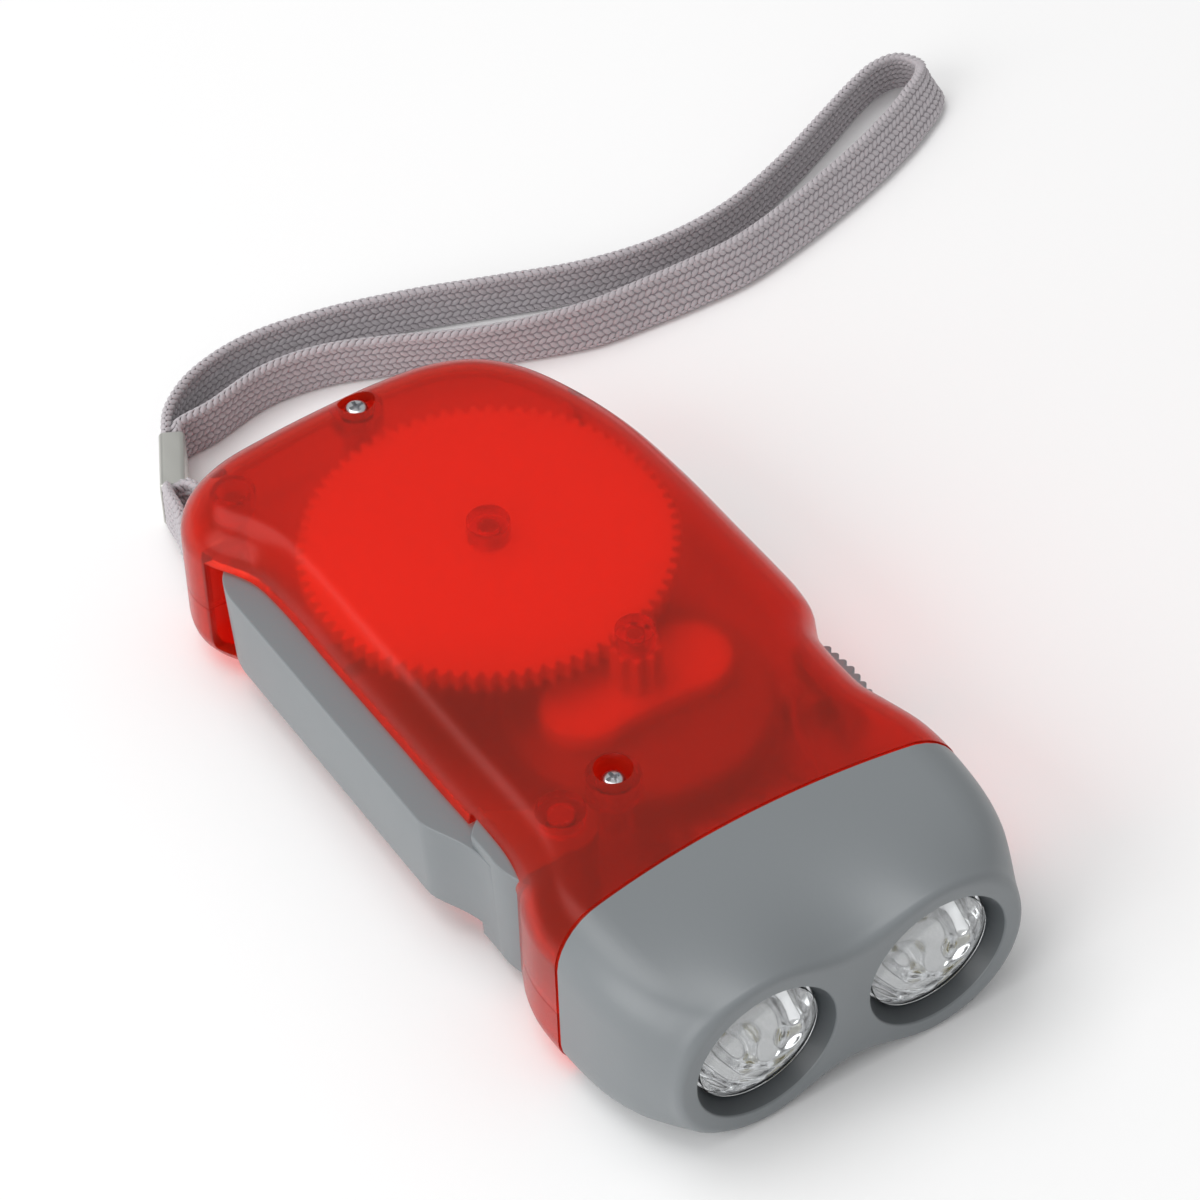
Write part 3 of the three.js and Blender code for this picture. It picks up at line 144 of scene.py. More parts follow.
redPlastic = {
    "colour": rgb(0.97, 0.17, 0.085), "clearShare": 0.93, "roughness": 0.2, "ior": 1.43,
    "bumpStrength": 0.1, "bumpScale": 900.0, "bumpDepth": 0.00003,
    "cloudScale": 60.0, "cloudDetail": 2.0, "cloudRoughness": 0.04,
    "glowShare": 0.14, "glowColour": rgb(0.95, 0.09, 0.03), "sheenTint": rgb(0.85, 0.42, 0.4),
    "absorbColour": rgb(0.9, 0.2, 0.05), "absorbDensity": 600.0, "shadowTint": rgb(0.985, 0.59, 0.45),
}


def makeRedPlastic():
    p = redPlastic
    material, graph = newMaterial("translucentRed")
    fine = grain(graph, p["bumpScale"])
    cloudy = grain(graph, p["cloudScale"], p["cloudDetail"])
    body = graph.node("ShaderNodeBsdfPrincipled", None, {
        "Base Color": p["colour"], "Roughness": p["roughness"] + p["cloudRoughness"] * cloudy,
        "IOR": p["ior"], "Specular Tint": p["sheenTint"], "Transmission Weight": p["clearShare"],
        "Normal": bumped(graph, fine, p["bumpStrength"], p["bumpDepth"]),
    })
    glow = graph.node("ShaderNodeBsdfTranslucent", None, {"Color": p["glowColour"]})
    glowing = graph.node("ShaderNodeMixShader", None, {0: p["glowShare"], 1: body, 2: glow})
    depth = {"Color": p["absorbColour"], "Density": p["absorbDensity"]}
    absorb = graph.node("ShaderNodeVolumeAbsorption", None, depth)
    closeMaterial(graph, tintedShadow(graph, glowing, p["shadowTint"]), absorb)
    return material


greyPlastic = {
    "colour": rgb(0.2, 0.217, 0.228), "dark": rgb(0.165, 0.18, 0.19), "roughness": 0.32, "grainScale": 1500.0,
    "bump": 0.25, "specular": 0.6,
}
plainPlastic = {"grainScale": 400.0, "bump": 0.15, "specular": 0.6}
plainDark = 0.8
moulding = {
    "detail": 3.0, "patchScale": 40.0, "patchShare": 0.35, "patchRoughness": 0.12, "bumpDepth": 0.00004,
}


def mouldedBody(graph, look, colour, patches):
    fine = grain(graph, look["grainScale"], moulding["detail"])
    return graph.node("ShaderNodeBsdfPrincipled", None, {
        "Base Color": colour, "Roughness": look["roughness"] + moulding["patchRoughness"] * patches,
        "Normal": bumped(graph, fine, look["bump"], moulding["bumpDepth"]),
        "Specular IOR Level": look["specular"],
    })


def makePlastic(name, look):
    material, graph = newMaterial(name)
    patches = grain(graph, moulding["patchScale"], moulding["detail"])
    colour = blendColour(graph, moulding["patchShare"] * patches, look["colour"], look["dark"])
    closeMaterial(graph, mouldedBody(graph, look, colour, patches))
    return material


def plainLook(name, colour, roughness):
    dark = rgb(*(plainDark * c for c in colour[:3]))
    return makePlastic(name, {**plainPlastic, "colour": colour, "dark": dark, "roughness": roughness})


metal = {"detail": 4.0, "streakRoughness": 0.16, "bumpDepth": 0.00003}


def makeMetal(name, colour, roughness, stretch=(1.0, 1.0, 1.0), scale=300.0, bump=0.1):
    material, graph = newMaterial(name)
    turned = graph.node("ShaderNodeMapping", None, {"Vector": ownPlace(graph), "Scale": stretch})
    inputs = {"Vector": turned, "Scale": scale, "Detail": metal["detail"]}
    streaks = graph.node("ShaderNodeTexNoise", None, inputs)
    body = graph.node("ShaderNodeBsdfPrincipled", None, {
        "Base Color": colour, "Metallic": 1.0, "Roughness": roughness + metal["streakRoughness"] * streaks,
        "Normal": bumped(graph, streaks, bump, metal["bumpDepth"]),
    })
    closeMaterial(graph, body)
    return material


smudge = {"scale": 90.0, "detail": 3.0, "roughness": 0.03}


def makeClear(name, colour, roughness, ior):
    material, graph = newMaterial(name)
    smudges = grain(graph, smudge["scale"], smudge["detail"])
    body = graph.node("ShaderNodeBsdfPrincipled", None, {
        "Base Color": colour, "Roughness": roughness + smudge["roughness"] * smudges, "IOR": ior,
        "Transmission Weight": 1.0,
    })
    closeMaterial(graph, tintedShadow(graph, body, colour))
    return material


strapYarn = {
    # gap is the core ribbon's colour between the stitches, darkened as painted shade
    "light": rgb(0.56, 0.525, 0.55), "dark": rgb(0.4, 0.37, 0.39), "gap": rgb(0.2, 0.18, 0.2),
    "fibreScale": 5200.0, "fibreDetail": 3.0, "fibreShare": 0.4, "patchScale": 420.0, "patchDetail": 2.0,
    "patchShare": 0.6, "noiseRoughness": 0.5, "roughness": 0.82, "sheen": 0.35, "sheenRoughness": 0.5,
    "specular": 0.2, "bump": 0.5, "bumpDepth": 0.00006,
}


def makeYarn(name, light, dark):
    y = strapYarn
    material, graph = newMaterial(name)
    fibre = grain(graph, y["fibreScale"], y["fibreDetail"], y["noiseRoughness"])
    patch = grain(graph, y["patchScale"], y["patchDetail"], y["noiseRoughness"])
    colour = blendColour(graph, y["patchShare"] * patch + y["fibreShare"] * fibre, light, dark)
    body = graph.node("ShaderNodeBsdfPrincipled", None, {
        "Base Color": colour, "Roughness": y["roughness"], "Sheen Weight": y["sheen"],
        "Sheen Roughness": y["sheenRoughness"], "Specular IOR Level": y["specular"],
        "Normal": bumped(graph, fibre, y["bump"], y["bumpDepth"]),
    })
    closeMaterial(graph, body)
    return material


print("finishes")
red = makeRedPlastic()
grey = makePlastic("greyPlastic", greyPlastic)
white = plainLook("whiteAcetal", rgb(0.78, 0.75, 0.68), 0.35)
steel = makeMetal("platedSteel", rgb(0.62, 0.63, 0.65), 0.2)
darkSteel = makeMetal("darkSteel", rgb(0.36, 0.36, 0.37), 0.42)
crimpSteel = makeMetal("brushedSheet", rgb(0.6, 0.6, 0.565), 0.3, (1.0, 0.06, 1.0), 900.0, 0.3)
copper = makeMetal("enamelledCopper", rgb(0.6, 0.22, 0.08), 0.3, (0.1, 0.1, 1.0), 2200.0, 0.6)
mirror = makeMetal("mirrorFilm", rgb(0.93, 0.935, 0.94), 0.03, scale=60.0, bump=0.0)
clearLens = makeClear("clearLens", rgb(0.97, 0.98, 0.985), 0.02, 1.49)
resin = makeClear("clearResin", rgb(0.96, 0.95, 0.9), 0.05, 1.5)
phosphor = plainLook("phosphor", rgb(0.85, 0.72, 0.2), 0.5)
boardGreen = plainLook("boardGreen", rgb(0.03, 0.15, 0.06), 0.3)
leadRed = plainLook("leadRed", rgb(0.3, 0.02, 0.015), 0.4)
leadBlack = plainLook("leadBlack", rgb(0.02, 0.02, 0.02), 0.4)
yarn = makeYarn("strapYarn", strapYarn["light"], strapYarn["dark"])
# the strap core's material: painted shade between the stitches
yarnGapShade = makeYarn("strapGapShade", strapYarn["gap"], strapYarn["dark"])


# Meshes

def makeObject(name, points, faces, moved=True):
    mesh = bpy.data.meshes.new(name)
    offset = shift if moved else Vector()
    mesh.from_pydata([(Vector(p) + offset) * mm for p in points], [], faces)
    work = bmesh.new()
    work.from_mesh(mesh)
    bmesh.ops.remove_doubles(work, verts=work.verts, dist=mergeDistance)
    bmesh.ops.recalc_face_normals(work, faces=work.faces)
    work.to_mesh(mesh)
    work.free()
    piece = bpy.data.objects.new(name, mesh)
    scene.collection.objects.link(piece)
    return piece


def ringFaces(count, ringCount, wrap=False):
    faces = []
    for ring in range(ringCount if wrap else ringCount - 1):
        start, after = ring * count, ((ring + 1) % ringCount) * count
        for i in range(count):
            j = (i + 1) % count
            faces.append((start + i, start + j, after + j, after + i))
    return faces


def ringObject(name, rings, wrap=False, moved=True):
    count = len(rings[0])
    faces = ringFaces(count, len(rings), wrap)
    if not wrap:
        faces.append(tuple(reversed(range(count))))
        faces.append(tuple(range((len(rings) - 1) * count, len(rings) * count)))
    return makeObject(name, [p for ring in rings for p in ring], faces, moved)


def plainMesh(piece):
    depsgraph = bpy.context.evaluated_depsgraph_get()
    mesh = bpy.data.meshes.new_from_object(piece.evaluated_get(depsgraph), depsgraph=depsgraph)
    piece.modifiers.clear()
    old = piece.data
    piece.data = mesh
    bpy.data.meshes.remove(old)
    return piece


def combine(base, joins=(), cuts=(), shared=None):
    tools = [("UNION", t) for t in joins] + [("INTERSECT", t) for t in ([shared] if shared else [])]
    tools += [("DIFFERENCE", t) for t in cuts]
    for operation, tool in tools:
        step = base.modifiers.new("step", "BOOLEAN")
        step.solver = "MANIFOLD"
        step.operation = operation
        step.object = tool
    bpy.context.view_layer.update()
    plainMesh(base)
    for _, tool in tools:
        bpy.data.objects.remove(tool)
    return base


def smoothed(piece, sharpDeg):
    for polygon in piece.data.polygons:
        polygon.use_smooth = True
    piece.data.set_sharp_from_angle(angle=math.radians(sharpDeg))
    return piece


def dressed(piece, material, body, nodes=(), sharpDeg=32):
    smoothed(piece, sharpDeg)
    piece.data.materials.clear()
    piece.data.materials.append(material)
    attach(piece, body)
    if nodes:
        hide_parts(*nodes)
    return piece


def cosDeg(deg):
    return math.cos(math.radians(deg))


def sinDeg(deg):
    return math.sin(math.radians(deg))


def polar(center, radius, deg):
    return Vector((center[0] + radius * cosDeg(deg), center[1] + radius * sinDeg(deg)))


def arcPoints(center, radius, fromDeg, toDeg, steps):
    return [polar(center, radius, fromDeg + (toDeg - fromDeg) * k / steps) for k in range(steps + 1)]


def slab(name, outline, low, high):
    return ringObject(name, [[(p[0], p[1], z) for p in outline] for z in (low, high)])


def rod(name, place, radius, low, high, sides=64):
    return slab(name, [polar(place, radius, 360 * i / sides) for i in range(sides)], low, high)


def box(name, lowX, highX, lowY, highY, lowZ, highZ):
    return slab(name, [(lowX, lowY), (highX, lowY), (highX, highY), (lowX, highY)], lowZ, highZ)


def turns(sides):
    return [2 * math.pi * i / sides for i in range(sides)]


def upright(profile, place, sides):  # rings about a vertical axis, from radii and heights
    return [[(place[0] + radius * math.cos(a), place[1] + radius * math.sin(a), z) for a in turns(sides)]
            for radius, z in profile]


def centripetal(points, closed, perSpan):
    count = len(points)
    dense = []
    spans = count if closed else count - 1
    for span in range(spans):
        def pick(index):
            if closed:
                return points[index % count]
            if index < 0:
                return 2 * points[0] - points[1]
            if index >= count:
                return 2 * points[-1] - points[-2]
            return points[index]
        p0, p1, p2, p3 = (pick(span + k) for k in (-1, 0, 1, 2))
        t0, t1, t2 = (max((b - a).length, shortest) ** 0.5 for a, b in ((p0, p1), (p1, p2), (p2, p3)))
        m1 = ((p1 - p0) / t0 - (p2 - p0) / (t0 + t1) + (p2 - p1) / t1) * t1
        m2 = ((p2 - p1) / t1 - (p3 - p1) / (t1 + t2) + (p3 - p2) / t2) * t1
        for step in range(perSpan):
            t = step / perSpan
            dense.append((2 * t ** 3 - 3 * t ** 2 + 1) * p1 + (t ** 3 - 2 * t ** 2 + t) * m1
                         + (-2 * t ** 3 + 3 * t ** 2) * p2 + (t ** 3 - t ** 2) * m2)
    if not closed:
        dense.append(points[-1].copy())
    return dense


def evenly(dense, count, closed):
    path = dense + [dense[0]] if closed else dense
    run = [0.0]
    for a, b in zip(path, path[1:]):
        run.append(run[-1] + (b - a).length)
    wanted = [run[-1] * i / (count if closed else count - 1) for i in range(count)]
    result, at = [], 0
    for w in wanted:
        while at < len(run) - 2 and run[at + 1] < w:
            at += 1
        share = (w - run[at]) / max(run[at + 1] - run[at], shortest)
        result.append(path[at].lerp(path[at + 1], min(1.0, share)))
    return result


# Camera, light and table

photoCamera = {  # the clip values are in metres
    "azimuthDeg": -31.53, "elevationDeg": 45.84, "rollDeg": -2.15, "distance": 600.0, "focal": 4806.63,
    "imageSize": 1200.0, "sensor": 36.0, "originAcross": 851.24, "originDown": 1003.56, "gauge": 0.9,
    "origin": (0.3, -54.4, 12.25), "clipStart": 0.01, "clipEnd": 20.0,
}


def makeCamera():
    c = photoCamera
    a, e, roll = (math.radians(c[k]) for k in ("azimuthDeg", "elevationDeg", "rollDeg"))
    right = Vector((math.cos(a), math.sin(a), 0))
    back = Vector((math.sin(a) * math.cos(e), -math.cos(a) * math.cos(e), math.sin(e)))
    up = back.cross(right)
    right, up = math.cos(roll) * right + math.sin(roll) * up, -math.sin(roll) * right + math.cos(roll) * up
    half = c["imageSize"] / 2
    across = (c["originAcross"] - half) / c["focal"] * c["distance"]
    rise = -(c["originDown"] - half) / c["focal"] * c["distance"]
    centre = (-across * right - rise * up + c["distance"] * back) * c["gauge"] + Vector(c["origin"])
    lens = bpy.data.cameras.new("photoLens")
    lens.sensor_width = c["sensor"]
    lens.lens = c["focal"] * c["sensor"] / c["imageSize"]
    lens.clip_start = c["clipStart"]
    lens.clip_end = c["clipEnd"]
    camera = bpy.data.objects.new("photoCamera", lens)
    camera.matrix_world = Matrix.Translation(centre * mm) @ Matrix((right, up, back)).transposed().to_4x4()
    scene.collection.objects.link(camera)
    scene.camera = camera


studio = {  # places and sizes of the lights in metres
    "worldStrength": 0.5, "keyPower": 5.9, "keySize": 0.85, "keyPlace": (-0.25, 0.33, 1.15),
    "fillPower": 7.0, "fillSize": 0.9, "fillPlace": (-1.05, -0.12, 0.55), "target": (0.0, 0.0, 0.01),
}
table = {
    "half": 3000.0, "light": rgb(0.99, 0.99, 0.99), "dark": rgb(0.975, 0.975, 0.98), "patchScale": 3.0,
    "patchDetail": 2.0, "patchShare": 0.3, "roughness": 0.7, "specular": 0.2,
}


def areaLight(name):
    place = Vector(studio[name + "Place"])
    light = bpy.data.lights.new(name + "Light", "AREA")
    light.size = studio[name + "Size"]
    light.energy = studio[name + "Power"]
    lamp = bpy.data.objects.new(name + "Light", light)
    lamp.location = place
    lamp.rotation_euler = (Vector(studio["target"]) - place).to_track_quat("-Z", "Y").to_euler()
    scene.collection.objects.link(lamp)


def makeTable():
    t = table
    material, graph = newMaterial("paleTable")
    patches = grain(graph, t["patchScale"], t["patchDetail"])
    colour = blendColour(graph, t["patchShare"] * patches, t["light"], t["dark"])
    inputs = {"Base Color": colour, "Roughness": t["roughness"], "Specular IOR Level": t["specular"]}
    closeMaterial(graph, graph.node("ShaderNodeBsdfPrincipled", None, inputs))
    size = t["half"]
    corners = [(-size, -size, 0), (size, -size, 0), (size, size, 0), (-size, size, 0)]
    floor = makeObject("table", corners, [(0, 1, 2, 3)], False)
    floor.data.materials.append(material)


def makeStudio():
    world = bpy.data.worlds.new("studio")
    world.use_nodes = True
    world.node_tree.nodes["Background"].inputs["Color"].default_value = rgb(1, 1, 1)
    world.node_tree.nodes["Background"].inputs["Strength"].default_value = studio["worldStrength"]
    scene.world = world
    areaLight("key")
    areaLight("fill")
    makeTable()


print("camera, light and table")
makeCamera()
makeStudio()


# Wrist strap

strap = {  # the loop's and the tail's length in metres
    "width": 7.0, "thickness": 1.3, "lift": 0.2, "tailLift": 3.2, "riseShare": 6.0, "crimpLength": 9.6,
    "crimpRear": (-15.15, 75.25), "crimpTurnDeg": -28.4, "gap": 0.3, "strandGap": 0.1, "inCrimp": 3.0,
    "bareEnd": 0.3, "ringStep": 1.1, "curveSteps": 24, "coreHalf": 0.5, "coreStepDeg": 30, "sharpDeg": 60,
    "tailOut": (-19.5, 55.4), "outShare": 1.5, "tailGaps": 3, "loopLength": 0.27, "tailLength": 0.052,
}
stitch = {
    "faceRows": 6, "rowPitch": 1.04, "step": 1.04, "long": 0.76, "wide": 0.44, "tall": 0.2, "slantDeg": 34.0,
    "edgeDegs": (50, 130), "startShare": 0.25, "segments": 6, "rings": 4,
}
loopRoute = [  # places of the lower edge and the lean to the inside of the loop in degrees
    (-8.1, 77.4, 0), (0.8, 79.3, 0), (9.2, 78.3, 0), (18, 74.8, -3), (26, 71, -5), (34, 67.3, 2),
    (42.5, 64.3, 12), (50.4, 63.4, 17), (58.1, 62.9, 20), (66.1, 63, 22), (75.6, 64.8, 25),
    (85.4, 67.4, 28), (92, 69.5, 30), (97.5, 71.6, 32), (101.1, 73.2, 33), (104.2, 74.9, 33),
    (106.6, 76.3, 32), (108.9, 78.6, 30), (109.4, 81.2, 26), (108, 83.6, 20), (105.2, 85.2, 12),
    (101.4, 84.9, 6), (97, 83.2, 3), (90, 79.8, 0), (79, 75, 0), (68, 71.6, 0), (57, 70.9, 0),
    (46, 72.8, 0), (35, 76.8, 0), (24, 81, 0), (12, 84.4, 0), (1, 85.6, 0), (-7.7, 83.6, 0),
    (-13, 79.9, 0),
]
tailRoute = [
    (-18.6, 64.4, 0), (-18.2, 60, 0), (-18.4, 55, 0), (-18.5, 50.5, 0), (-18.5, 46.9, 0),
    (-19.6, 44.6, 0), (-21.6, 44.1, 0), (-23.3, 45.2, 0), (-23.7, 48.5, 0), (-23.7, 53.5, 0),
    (-23.2, 57, 0), (-22.2, 60.6, 0), (-21.6, 63.8, 0),
]
crimpAlong = Vector((-sinDeg(strap["crimpTurnDeg"]), cosDeg(strap["crimpTurnDeg"])))
crimpAcross = Vector((crimpAlong.y, -crimpAlong.x))
crimpRear = Vector(strap["crimpRear"])
crimpFront = crimpRear - strap["crimpLength"] * crimpAlong


def strandPoint(end, side, out):
    offset = (strap["thickness"] + strap["strandGap"]) / 2
    place = end + side * offset * crimpAcross + out * crimpAlong
    return place.x, place.y, 0


def strapPath(route, liftAt):  # the lower edge, with the lean as a fourth value
    last = len(route) - 1
    points = [Vector((x, y, liftAt(i / last), math.radians(lean))) for i, (x, y, lean) in enumerate(route)]
    dense = centripetal(points, False, strap["curveSteps"])
    length = sum((b - a).length for a, b in zip(dense, dense[1:]))
    return evenly(dense, int(length / strap["ringStep"]) + 2, False), length


def strapFrames(path):
    frames = []
    for i, place in enumerate(path):
        along = path[min(i + 1, len(path) - 1)].to_3d() - path[max(i - 1, 0)].to_3d()
        along.z = 0
        along.normalize()
        left, up = Vector((-along.y, along.x, 0)), Vector((0, 0, 1))
        c, s = math.cos(place[3]), math.sin(place[3])
        rise = c * up + s * left
        middle = place.to_3d() + rise * strap["width"] / 2 + up * abs(s) * strap["thickness"] / 2
        frames.append((middle, along, c * left - s * up, rise))
    return frames


def strapSection():
    half, straight = strap["coreHalf"], strap["width"] / 2 - strap["thickness"] / 2
    degs = range(0, 181, strap["coreStepDeg"])
    upper = [(half * cosDeg(d), straight + half * sinDeg(d)) for d in degs]
    return upper + [(-x, -z) for x, z in upper]


def stitchColumns():  # place across the strap, facing, slant and offset of each row of stitches
    half, straight = strap["coreHalf"], strap["width"] / 2 - strap["thickness"] / 2
    spots = []
    for side in (1, -1):
        for k in range(stitch["faceRows"]):
            rise = (k - (stitch["faceRows"] - 1) / 2) * stitch["rowPitch"]
            spots.append((side * half, side * rise, side, 0.0))
        for deg in stitch["edgeDegs"]:
            x, z = cosDeg(deg), sinDeg(deg)
            spots.append((side * half * x, side * (straight + half * z), side * x, side * z))
    return [(*spot, (1 if k % 2 else -1) * stitch["slantDeg"], 0.5 * (k % 2)) for k, spot in enumerate(spots)]


def stitchCloud(name, frames, length, bare):
    turned, places = [], []
    steps = int(length / stitch["step"])
    for across, rise, normalAcross, normalUp, slantDeg, phase in stitchColumns():
        for k in range(steps):
            share = (k + stitch["startShare"] + phase) / steps
            if not bare < share * length < length - bare:
                continue
            i = min(int(share * (len(frames) - 1)), len(frames) - 2)
            t = share * (len(frames) - 1) - i
            middle, along, side, up = (a.lerp(b, t) for a, b in zip(frames[i], frames[i + 1]))
            normal = (normalAcross * side + normalUp * up).normalized()
            cross = normal.cross(along).normalized()
            longWay = cosDeg(slantDeg) * cross.cross(normal) + sinDeg(slantDeg) * cross
            places.append(middle + across * side + rise * up)
            turned.append(Matrix((longWay, normal.cross(longWay), normal)).transposed().to_euler())
    mesh = bpy.data.meshes.new(name)
    mesh.from_pydata([(p + shift) * mm for p in places], [], [])
    turn = mesh.attributes.new("turn", "FLOAT_VECTOR", "POINT")
    turn.data.foreach_set("vector", [value for euler in turned for value in euler])
    cloud = bpy.data.objects.new(name, mesh)
    scene.collection.objects.link(cloud)
    return cloud


def newTree(name, sockets):
    tree = bpy.data.node_groups.new(name, "GeometryNodeTree")
    tree.interface.new_socket("Geometry", in_out="INPUT", socket_type="NodeSocketGeometry")
    for label, kind in sockets.items():
        tree.interface.new_socket(label, in_out="INPUT", socket_type="NodeSocket" + kind)
    tree.interface.new_socket("Geometry", in_out="OUTPUT", socket_type="NodeSocketGeometry")
    graph = Graph(tree)
    start = tree.nodes.new("NodeGroupInput")
    return tree, graph, {socket.name: Wire(graph, socket) for socket in start.outputs if socket.name}


def runTree(piece, tree, values):
    modifier = piece.modifiers.new("shape", "NODES")
    modifier.node_group = tree
    for item in tree.interface.items_tree:
        if item.item_type == "SOCKET" and item.in_out == "INPUT" and item.name in values:
            modifier[item.identifier] = values[item.name]
    bpy.context.view_layer.update()
    return plainMesh(piece)


def stitchTree():
    sockets = {"Long": "Float", "Wide": "Float", "Tall": "Float", "Yarn": "Material"}
    tree, graph, given = newTree("strapStitches", sockets)
    ball = {"Segments": stitch["segments"], "Rings": stitch["rings"], "Radius": 1.0}
    bead = graph.node("GeometryNodeMeshUVSphere", None, ball)
    size = graph.node("ShaderNodeCombineXYZ", None, {0: given["Long"], 1: given["Wide"], 2: given["Tall"]})
    shaped = graph.node("GeometryNodeTransform", None, {"Geometry": bead, "Scale": size})
    turn = graph.node("GeometryNodeInputNamedAttribute", {"data_type": "FLOAT_VECTOR"}, {"Name": "turn"})
    points = graph.node("GeometryNodeMeshToPoints", None, {"Mesh": given["Geometry"]})
    spread = {"Points": points, "Instance": shaped, "Rotation": turn}
    placed = graph.node("GeometryNodeInstanceOnPoints", None, spread)
    real = graph.node("GeometryNodeRealizeInstances", None, {"Geometry": placed})
    smooth = graph.node("GeometryNodeSetShadeSmooth", None, {"Geometry": real})
    painted = graph.node("GeometryNodeSetMaterial", None, {"Geometry": smooth, "Material": given["Yarn"]})
    graph.node("NodeGroupOutput", None, {"Geometry": painted})
    return tree


def makeStrap(name, route, liftAt, node, bare):
    path, length = strapPath(route, liftAt)
    frames = strapFrames(path)
    section = strapSection()
    rings = [[middle + x * side + z * up for x, z in section] for middle, _, side, up in frames]
    core = ringObject(name, rings)
    cloud = stitchCloud(name + "Stitches", frames, length, bare)
    sizes = {label.title(): stitch[label] * mm for label in ("long", "wide", "tall")}
    runTree(cloud, stitches, {**sizes, "Yarn": yarn})
    smoothed(core, strap["sharpDeg"])
    # the core shows between the stitches with its painted shade
    core.data.materials.append(yarnGapShade)
    both = [core, cloud]
    with bpy.context.temp_override(active_object=core, object=core, selected_objects=both,
                                   selected_editable_objects=both):
        bpy.ops.object.join()
    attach(core, "housing")
    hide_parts(node)
    line = [(frame[0] + shift) * mm for frame in frames]
    print(name, "is", round(length, 1), "mm long")
    return core


def roundedRectangle(halfA, halfB, corner, steps=8):
    points = []
    for a, b, start in ((1, 1, 0), (-1, 1, 90), (-1, -1, 180), (1, -1, 270)):
        for k in range(steps + 1):
            d = start + 90 * k / steps
            across, rise = corner * cosDeg(d), corner * sinDeg(d)
            points.append(((halfA - corner) * a + across, (halfB - corner) * b + rise))
    return points


crimp = {"halfAcross": 1.68, "halfTall": 3.68, "middleZ": 3.7, "corner": 0.75, "wall": 0.3, "edge": 0.1}


def makeCrimp():
    c = crimp
    half, e = strap["crimpLength"] / 2, c["edge"]
    front = [(half - e, 0), (half, e), (half, c["wall"] - e), (half - e, c["wall"])]
    middle = (crimpFront + crimpRear) / 2
    rings = []
    for out, draw in front + [(-out, draw) for out, draw in reversed(front)]:
        ring = []
        for a, b in roundedRectangle(c["halfAcross"] - draw, c["halfTall"] - draw, c["corner"] - draw):
            place = middle + out * crimpAlong + a * crimpAcross
            ring.append((place.x, place.y, c["middleZ"] + b))
        rings.append(ring)
    sheet = ringObject("crimpSheet", rings, wrap=True)
    return dressed(sheet, crimpSteel, "housing", ["strap_crimp"], sharpDeg=40)


def tailLiftAt(share):
    rise = min(1.0, strap["riseShare"] * share, strap["riseShare"] * (1 - share))
    return strap["lift"] + (strap["tailLift"] - strap["lift"]) * rise


print("wrist strap")
stitches = stitchTree()
crimpPiece = makeCrimp()
loopOuts = (-strap["inCrimp"], strap["gap"], strap["outShare"] * strap["thickness"])
tailOuts = (0, -strap["tailGaps"] * strap["gap"])
loopStart, loopEnd = ([strandPoint(crimpRear, side, out) for out in loopOuts] for side in (1, -1))
tailStart, tailEnd = ([strandPoint(crimpFront, side, out) for out in tailOuts] for side in (1, -1))
makeStrap("wristLoop", loopStart + loopRoute + loopEnd[::-1], lambda share: strap["lift"], "wrist_strap",
          strap["inCrimp"] + strap["bareEnd"])
makeStrap("strapTail", tailStart + tailRoute + tailEnd[::-1], tailLiftAt, "strap_tail", strap["bareEnd"])


# Housing halves

housing = {
    "halfWidth": 27.59, "frontReach": 54.6, "rearReach": 55.38, "height": 24.5, "split": 11.0, "wall": 1.5,
    "fillet": 6.0, "seam": 0.12, "gap": 0.3, "jointY": -32.8, "jointSag": 3.2, "jointReach": 1.5,
    "jointSteps": 96, "outlinePoints": 320, "curveSteps": 24, "filletSteps": 16, "innerSteps": 10,
    "support": 0.12, "over": 2.0, "skin": 0.02, "grooveDepth": 0.22, "grooveWidth": 0.3,
}
outlineShares = [
    (1, -0.86), (1, -0.7), (1, -0.6), (0.985, -0.54), (0.94, -0.46), (0.905, -0.4), (0.898, -0.34),
    (0.9, -0.27), (0.91, -0.22), (0.945, -0.18), (0.985, -0.14), (1.005, -0.08), (1.008, 0),
    (1.005, 0.15), (1, 0.35), (0.968, 0.55), (0.885, 0.72), (0.77, 0.85), (0.61, 0.935), (0.4, 0.982),
    (0.15, 0.998), (-0.15, 0.998), (-0.45, 0.99), (-0.72, 0.972), (-0.91, 0.93), (-1.015, 0.87),
    (-1.05, 0.8), (-1.02, 0.738), (-0.953, 0.68), (-0.912, 0.63), (-0.895, 0.55), (-0.89, 0.3),
    (-0.885, 0.05), (-0.884, -0.1), (-0.88, -0.2), (-0.878, -0.3), (-0.885, -0.37), (-0.915, -0.44),
    (-0.968, -0.5), (-1, -0.57), (-1, -0.7), (-1, -0.86),
]
ceiling = housing["height"] - housing["wall"]
middleZ = housing["height"] / 2


def housingOutline():
    h = housing
    points = [Vector((x * h["halfWidth"], y * (h["frontReach"] if y < 0 else h["rearReach"]), 0))
              for x, y in outlineShares]
    return evenly(centripetal(points, True, h["curveSteps"]), h["outlinePoints"], True)


def inset(outline, distance, z):  # corners are mitred, up to a limit
    result = []
    for i, p in enumerate(outline):
        before = (p - outline[i - 1]).normalized()
        after = (outline[(i + 1) % len(outline)] - p).normalized()
        reach = distance / max(mitreLimit, 1 + before.dot(after))
        result.append(Vector((p.x - (before.y + after.y) * reach, p.y + (before.x + after.x) * reach, z)))
    return result


def roundedSlab(name, draw, startZ, faceZ, radius, steps):  # the face's edge is rounded
    way = 1 if faceZ > startZ else -1
    rings = [inset(outline, draw, startZ)]
    for step in range(steps + 1):
        deg = 90 * step / steps
        z = faceZ - way * radius * (1 - sinDeg(deg))
        rings.append(inset(outline, draw + radius * (1 - cosDeg(deg)), z))
    rings.append(inset(outline, draw + radius + housing["support"], faceZ))
    return ringObject(name, rings)


